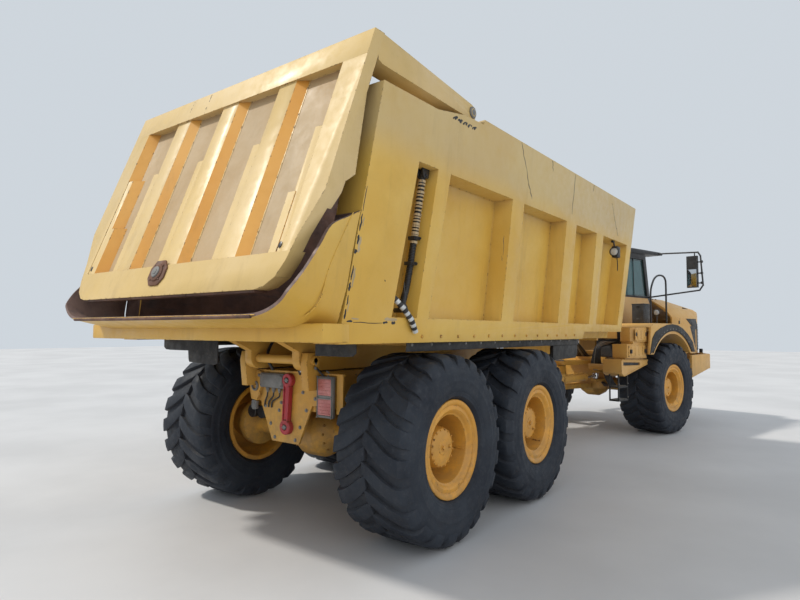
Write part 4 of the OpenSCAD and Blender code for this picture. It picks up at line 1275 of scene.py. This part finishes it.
@front_piece("grey")
def hinge_pin_caps(bm):
    for z, d in ((1330, 1), (790, -1)):
        lathe(bm, cap(92, d * 20, 8, d * 6), "z", (0, 0, z), 40)
        bolts(bm, [(x, y, z + d * 20) for x, y in circle(6, 70)], (0, 0, d), 10, 8)
    for s in (-1, 1):
        lathe(bm, cap(44, 12, 6, 4), "z", (500, s * STEER_Y, 1155), 24)


@piece("grey", "chassis")
def steering_valve_block(bm):
    box(bm, 5210, 5330, -330, -250, 1180, 1330, 10)
    for z in (1210, 1255, 1300):
        rod(bm, 16, (5270, -330, z), (5270, -372, z), 6)
        rod(bm, 16, (5230, -330, z), (5230, -360, z), 6)


@front_piece("dark")
def under_cab_shield(bm):
    box(bm, 858, 876, -1120, -300, 1404, 1746, 5)
    bolts(bm, product([858], (-1080, -860, -640, -420), (1440, 1710)), BACK, 12, 8)


# hose bundles beside the hinge, on the front unit
for k in range(7):
    y = -575 - 30 * k
    path = [(856, y, 1655), (760, y, 1692), (560 - 20 * k, y - 10, 1700 - 8 * k), (330 - 25 * k, y - 20, 1610),
            (228 - 14 * k, y - 20, 1455), (200, y, 1302)]
    cord("bay_hose_%d" % (k + 1), path, 24 if k % 2 else 19, "tractor", "grey" if k == 2 else "dark", FRONT)
for k in range(5):
    y = -860 - 26 * k
    path = [(190, y, 1198), (150, y - 20, 1090), (210, y - 40, 970), (400, y + 10, 885), (600, -680 - 14 * k, 868),
            (739, -532 + 12 * k, 850 + 14 * k)]
    cord("lower_hose_%d" % (k + 1), path, 20, "tractor", "dark", FRONT)


# Bonnet, grille and bumper
@front_piece("dark", "hood", both=True)
def hood_corner_grilles(bm):
    d = Vector((458, 150, 0)).normalized()
    out = Vector((d.y, -d.x, 0))
    m = Matrix((d, Vector(UP), out)).transposed().to_4x4()
    m.translation = Vector((3492, -1200, 0)) - out * 4
    prism(bm, [(40, 1500), (40, 2140), (330, 2080), (440, 1960), (440, 1500)], 0, 9, "xy", 5, m)
    for k in range(17):
        z = 1530 + k * 33
        e = 430 if z < 1960 else 430 - (z - 1960) * 0.95
        prism(bm, [(52, z), (e, z), (e, z + 14), (52, z + 14)], 8, 20, "xy", 3, m)


@front_piece("dark", "hood", both=True)
def hood_wedge(bm):
    prism(bm, [(2960, 2190), (3486, 2190), (3486, 1960), (3290, 1960), (3250, 2035)], -1206, -1198, r=3)


@front_piece("dark", "hood", both=True)
def hood_side_louvres(bm):
    prism(bm, [(2730, 1560), (2730, 2030), (3420, 2030), (3420, 1560)], -1207, -1198, r=4)
    for z in range(1585, 1585 + 14 * 31, 31):
        prism(bm, [(2750, z), (3400, z), (3400, z + 10), (2750, z + 16)], -1217, -1206, r=3)


@front_piece("dark", "hood", both=True)
def hood_latches(bm):
    # seams, latches and the grab rail on the shoulder
    for x in (2660, 3440):
        prism(bm, [(x, 1470), (x, 2190), (x + 7, 2190), (x + 7, 1470)], -1203, -1199)
    for r, x0, z0, x1, z1 in ((13, 3250, 2432, 3550, 2400), (12, 3250, 2395, 3250, 2432),
                              (12, 3550, 2362, 3550, 2400)):
        rod(bm, r, (x0, -1020, z0), (x1, -1020, z1))
    bolts(bm, [(2360, -760, 2598), (2520, -760, 2598)], (0, -0.55, 0.8), 14, 10)
    for z in (1700, 2050):
        box(bm, 2600, 2650, -1212, -1196, z, z + 90, 6)


@front_piece("dark", "hood")
def hood_intake_grid(bm):
    for k in range(13):
        x = 2620 + k * 40
        box(bm, x, x + 16, -460, 460, 2594 - k * 6, 2624 - k * 5, 4)
    for y in (-480, 456):
        box(bm, 2590, 3150, y, y + 24, 2556, 2612, 5)


@front_piece("dark")
def grille_slats(bm):
    # radiator mesh behind wide slats
    box(bm, 3990, 4004, -688, 688, 1402, 1988, 3)
    for z in range(1420, 1420 + 11 * 52, 52):
        box(bm, 4006, 4030, -684, 684, z, z + 20, 5)
    for y in (-688, -345, -10, 335, 668):
        box(bm, 4002, 4028, y, y + 20, 1402, 1988, 4)


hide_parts("grille")


@front_piece("dark", both=True)
def headlamp_housings(bm):
    box(bm, 3905, 3948, 1090, 1160, 1439, 1530, 8)


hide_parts("headlamps")


@front_piece("lens_clear", both=True)
def headlamp_lenses(bm):
    box(bm, 3947, 3954, 1098, 1152, 1447, 1522, 3)


@front_piece("grey")
def bumper_bolts(bm):
    for s in (-1, 1):
        for t in (k / 5 for k in range(6)):
            bolt(bm, (3520 + 420 * t, s * (1445 - 267 * t + 2), 1300), (0.55, s * 0.85, 0), 13, 9)
    bolts(bm, [(4262 - abs(y) * 0.093, y, 1300) for y in (-500, -300, 300, 500)], AHEAD, 15, 10)


# Fenders, rail and air box
ARCH_Z, DECK_Z = 860, 2060
RAIL_Y, STALK_X = -1200, 1595


@front_piece("rubber", smooth=50, both=True)
def fender_rubber_arches(bm):
    outer = [(330, 1502), (436, 1786), (560, 1900), (775, 1975), (1020, 2030), (1268, 2050), (1500, 2030), (1708, 1974),
             (1950, 1860), (2161, 1711), (2271, 1509)]
    inner = [(AXLE_AHEAD + 1062 * cos(radians(a)), ARCH_Z + 1062 * sin(radians(a))) for a in range(38, 143, 5)]
    prism(bm, outer + inner, -1656, -1638, r=5)
    lathe(bm, [(1058, -5), (1070, -10), (1070, 22), (1058, 16)], seg=40, arc=104 / 360,
          m=turned((AXLE_AHEAD, -1640, ARCH_Z), 90, "X") @ turned((0, 0, 0), 38, "Z"))


@front_piece("grey", both=True)
def fender_arch_bolts(bm):
    for a in (radians(44 + 92 * i / 14) for i in range(15)):
        bolt(bm, (AXLE_AHEAD + 1100 * cos(a), -1655, ARCH_Z + 1100 * sin(a)), RIGHT, 9, 6)


@front_piece("frame", both=True)
def fender_tread_marks(bm):
    # tread plate pattern on the deck
    for i, j in product(range(44), range(14)):
        x, y = 620 + i * 32, -1600 + j * 42
        a = radians(45 if (i + j) % 2 else -45)
        dx, dy, wx, wy = 12 * cos(a), 12 * sin(a), -3 * sin(a), 3 * cos(a)
        corners = ((x - dx, y - dy, 0), (x + wx, y + wy, 2.5), (x + dx, y + dy, 0), (x - wx, y - wy, 2.5))
        bm.faces.new([bm.verts.new((p, q, DECK_Z + up)) for p, q, up in corners])


@front_piece("dark")
def work_lamp_stalk(bm):
    rod(bm, 13, (STALK_X, RAIL_Y, DECK_Z), (STALK_X, RAIL_Y, 2235))
    lathe(bm, cap(34, 8, 4, 2), "z", (STALK_X, RAIL_Y, DECK_Z), 20)
    lathe(bm, [(0, 40), (40, 38), (56, 20), (60, 0), (60, -14), (54, -18)], "x", (STALK_X, RAIL_Y, 2288), 32)


@front_piece("lens_clear")
def work_lamp_stalk_lens(bm):
    lathe(bm, [(55, -14), (46, -22), (24, -28), (0, -30)], "x", (STALK_X, RAIL_Y, 2288), 32)


@front_piece("dark", smooth=60)
def hand_rail(bm):
    line = ((1345, 2061), (1345, 2400), (1352, 2690), (1425, 2850), (1520, 2958), (1650, 3022), (1790, 3042),
            (1920, 3028), (2005, 2970), (2030, 2860), (2030, 2500), (2030, 2061))
    tube(bm, [(x, RAIL_Y, z) for x, z in line], 18, 14, steps=8)


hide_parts("handrails")


@front_piece("dark")
def rail_feet(bm):
    for x in (1345, 2030):
        box(bm, x - 45, x + 45, -1245, -1155, DECK_Z, 2070, 4)
        bolts(bm, product((x - 30, x + 30), (RAIL_Y - 30, RAIL_Y + 30), [2070]), UP, 8, 7)


@front_piece("dark")
def air_box_louvres(bm):
    for z in range(2110, 2110 + 9 * 34, 34):
        box(bm, 870, 1078, -1306, -1299, z, z + 14, 4)
    box(bm, 840, 1108, -1305, -1055, 2424, 2440, 6)
    for z in (2120, 2370):
        box(bm, 838, 846, -1210, -1150, z, z + 36, 3)


# Side boxes and steps
@front_piece("front", both=True)
def side_box_lids(bm):
    # raised lids, ribs and seams of the boxes beside the hinge
    prism(bm, [(-262, 1470), (-262, 1664), (382, 1652), (382, 1450)], -1552, -1538, r=10)
    prism(bm, [(-52, 1748), (-52, 1954), (368, 1962), (368, 1746)], -1572, -1558, r=10)
    for x in (-180, -40, 100, 240):
        prism(bm, [(x, 1486), (x + 26, 1486), (x + 26, 1640), (x, 1640)], -1558, -1550, r=5)
    for x in (20, 150, 280):
        prism(bm, [(x, 1775), (x + 24, 1775), (x + 24, 1935), (x, 1935)], -1578, -1570, r=5)
    prism(bm, [(-418, 1404), (-418, 1424), (538, 1400), (538, 1380)], -1508, -1498, r=4)
    prism(bm, [(-340, 1130), (-330, 1150), (520, 1334), (520, 1312)], -1508, -1498, r=4)


@front_piece("dark", both=True)
def side_box_latches(bm):
    for x, z in ((-200, 1560), (330, 1560), (-20, 1860), (340, 1860)):
        box(bm, x - 22, x + 22, -1580, -1550, z - 34, z + 34, 7)
    # filler cap with grips
    filler = (440, -1360, 1402)
    lathe(bm, [(0, 46), (52, 46), (60, 40), (60, 0), (0, 0)], "z", filler, 28)
    for k in range(8):
        box(bm, -6, 6, 56, 66, 4, 40, 2, m=turned(filler, 45 * k, "Z"))
    bolts(bm, product((-250, 380), [-1552], (1480, 1640)), RIGHT, 8, 6)


@front_piece("dark", both=True)
def side_box_recess_shade(bm):
    prism(bm, [(-356, 1323), (246, 1309), (246, 1351), (-356, 1374)], -1474, -1471)


@front_piece("grey", both=True)
def step_treads(bm):
    for z, x in product((700, 930), range(-392, -392 + 11 * 31, 31)):
        box(bm, x, x + 9, -1426, -1254, z + 24, z + 32, 2)
    bolts(bm, product((-390, -80), [-1431], (760, 1000)), RIGHT, 9, 7)


# Cab
@front_piece("tan")
def cab_side_panel(bm):
    prism(bm, [(880, 1770), (880, 2600), (2060, 2600), (2150, 2480), (2150, 1770)], -807, -799, r=4)


@front_piece("front")
def cab_rear_panel(bm):
    for y0, y1, z0, z1 in ((-780, 780, 1770, 2470), (-780, -640, 2485, 3150), (640, 780, 2485, 3150)):
        box(bm, 793, 801, y0, y1, z0, z1, 4)
    box(bm, 786, 795, -500, 500, 1900, 2380, 6)


@front_piece("dark")
def cab_window_bars(bm):
    for z in range(2560, 2560 + 7 * 88, 88):
        rod(bm, 9, (788, -610, z), (788, 610, z), 10)
    for y in (-605, 0, 605):
        rod(bm, 11, (786, y, 2520), (786, y, 3130), 10)


@front_piece("dark")
def cab_window_seals(bm):
    pts = [(960, 2630), (960, 3130), (1040, 3400), (1880, 3410), (2030, 2690), (2030, 2630)]
    for (ax, az), (cx, cz) in zip(pts, pts[1:] + pts[:1]):
        rod(bm, 11, (ax, -802, az), (cx, -802, cz), 10)
    rod(bm, 8, (1500, -790, 2640), (1470, -790, 3400), 10)


@front_piece("dark")
def cab_roof_trim(bm):
    edge = [(852, 3484), (884, 3566), (1398, 3597), (2640, 3614), (2727, 3588), (2700, 3556), (2600, 3560)]
    for y in (-838, 826):
        prism(bm, edge, y, y + 12, r=3)
    for y in (-400, 0, 400):
        box(bm, 1000, 2500, y - 14, y + 14, 3570, 3618, 6)
    box(bm, 1200, 1800, -330, 330, 3560, 3628, 20)


@front_piece("dark")
def cab_wiper(bm):
    rod(bm, 9, (2172, 180, 2600), (2060, -60, 3150), 10)
    rod(bm, 8, (2095, -60, 2900), (2010, -60, 3380), 10)
    rod(bm, 22, (2150, 180, 2600), (2185, 180, 2604), 16)


@front_piece("trim")
def cab_controls(bm):
    # steering wheel and its column
    m = turned((1880, 0, 2590), -28, "Y")
    rim = [m @ Vector((x, y, 0)) for x, y in circle(40, 200)]
    tube(bm, rim + rim[:1], 14, 10, smooth=False, closed=False)
    for x, y in circle(3, 194, 0.5):
        rod(bm, 10, m.translation, m @ Vector((x, y, 0)), 8)
    lathe(bm, [(0, 20), (40, 16), (46, 0), (40, -14), (0, -16)], seg=24, m=m)
    rod(bm, 26, m @ Vector((0, 0, -10)), (2010, 0, 2330), 16)
    for s in (-1, 1):
        rod(bm, 8, m @ Vector((0, s * 30, -60)), m @ Vector((10, s * 170, -50)), 8)
    # top of the dashboard, its vents, and the levers on the side consoles
    box(bm, 1985, 2120, -330, 330, 2520, 2620, 30)
    for y in (-420, 420):
        lathe(bm, [(0, 0), (44, 0), (48, 6), (48, 16), (0, 16)], "z", (2060, y, 2520), 24)
    for y in (-330, 330):
        rod(bm, 14, (1480, y, 2150), (1500, y, 2330), 12)
        lathe(bm, [(0, 28), (22, 20), (26, 0), (0, -10)], "z", (1502, y, 2345), 20)
        box(bm, 1180, 1620, y - 70, y + 70, 1812, 2160, 18)


@front_piece("trim")
def cab_dash(bm):
    prism(bm, [(2178, 1812), (2178, 2538), (2021, 2518), (1962, 2300), (1912, 1812)], -698, 698, r=16)
    box(bm, 1160, 1690, -200, 200, 1812, 1990, 12)
    prism(bm, [(1092, 2160), (1160, 2160), (1130, 2900), (1084, 2900)], -200, 200, r=12)


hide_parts("cab_interior")


@front_piece("trim", smooth=60)
def seat_cushion(bm):
    box(bm, 1170, 1698, -256, 256, 1992, 2148, 60, seg=4)
    for y in (-210, 210):
        box(bm, 1200, 1690, y - 44, y + 44, 2040, 2150, 36, seg=3)


@front_piece("trim", smooth=60)
def seat_back(bm):
    m = turned((1215, 0, 2150), -5, "Y")
    box(bm, -62, 70, -244, 244, 0, 560, 54, m, 4)
    box(bm, -54, 56, -140, 140, 590, 780, 44, m, 4)


@front_piece("grey")
def seat_headrest_rods(bm):
    for y in (-70, 70):
        rod(bm, 8, (1160, y, 2690), (1155, y, 2780), 10)


@front_piece("dark", both=True)
def mirror_shells(bm):
    box(bm, 2440, 2505, 1450, 1660, 2810, 3200, 22, seg=3)
    box(bm, 2446, 2503, 1452, 1658, 3212, 3460, 22, seg=3)
    for z in (2900, 3100, 3330):
        box(bm, 2455, 2490, 1655, 1762, z - 12, z + 12, 5)
        rod(bm, 22, (2450, 1745, z - 26), (2450, 1745, z + 26), 16)


@front_piece("mirror", both=True)
def mirror_glasses(bm):
    box(bm, 2436, 2442, 1464, 1646, 2826, 3184, 3)
    box(bm, 2442, 2448, 1466, 1644, 3226, 3446, 3)


@front_piece("dark", "door")
def door_handle(bm):
    rod(bm, 10, (1840, 812, 2380), (1960, 812, 2380), 12)
    for x in (1845, 1955):
        rod(bm, 9, (x, 796, 2380), (x, 812, 2380), 10)
    prism(bm, [(1240, 2110), (1240, 2470), (1960, 2470), (1985, 2400), (1985, 2110)], 799, 806, r=3)


# Tipping and steering cylinders: bands, ports and pipes on the barrels, caps on the pins
HOIST_FOOT, HOIST_EYE, HOIST_Y = (600, 720), (2650, 1740), 700

for s, side in ((1, "left"), (-1, "right")):
    (ax, az), (bx, bz) = HOIST_FOOT, HOIST_EYE
    hoist = Matrix.Translation((ax, s * HOIST_Y, az)) @ Matrix.Rotation(-atan2(bz - az, bx - ax), 4, "Y")
    foot = Vector((HITCH - 1150, s * STEER_Y, 1050))
    eye = Matrix.Rotation(REST, 3, "Z") @ Vector((500, s * STEER_Y, 0)) + Vector((HITCH, 0, 0))
    steer = Matrix.Translation(foot) @ Matrix.Rotation(atan2(eye.y - foot.y, eye.x - foot.x), 4, "Z")

    @piece("frame", "hoist_barrel_" + side, name="hoist_barrel_%s_fittings" % side)
    def fittings(bm):
        for x0, x1, r in ((60, 90, 101), (1880, 1950, 102), (1840, 1862, 100), (950, 968, 99)):
            lathe(bm, [(94, x0 - 3), (r, x0), (r, x1), (94, x1 + 3)], "x", seg=36, m=hoist)
        rod(bm, 17, hoist @ Vector((160, 0, 96)), hoist @ Vector((1800, 0, 108)), 12)
        for x, z0, z1 in ((1800, 90, 128), (170, 80, 122)):
            rod(bm, 24, hoist @ Vector((x, 0, z0)), hoist @ Vector((x, 0, z1)), 6)

    @piece("grey", "bed", name="hoist_pin_%s_caps" % side)
    def caps(bm):
        for y in (-108, 100):
            lathe(bm, cap(58, 8, 8, 3), "y", (bx, s * HOIST_Y + y, bz), 28)

    @piece("frame", "steer_barrel_" + side, name="steer_barrel_%s_fittings" % side)
    def fittings(bm):
        for x0, x1, r in ((1000, 1040, 68), (70, 92, 67)):
            lathe(bm, [(60, x0 - 2), (r, x0), (r, x1), (60, x1 + 2)], "x", seg=28, m=steer)
        for x in (150, 930):
            rod(bm, 18, steer @ Vector((x, 0, 50)), steer @ Vector((x, 0, 88)), 6)
        rod(bm, 11, steer @ Vector((150, 0, 78)), steer @ Vector((930, 0, 78)), 10)
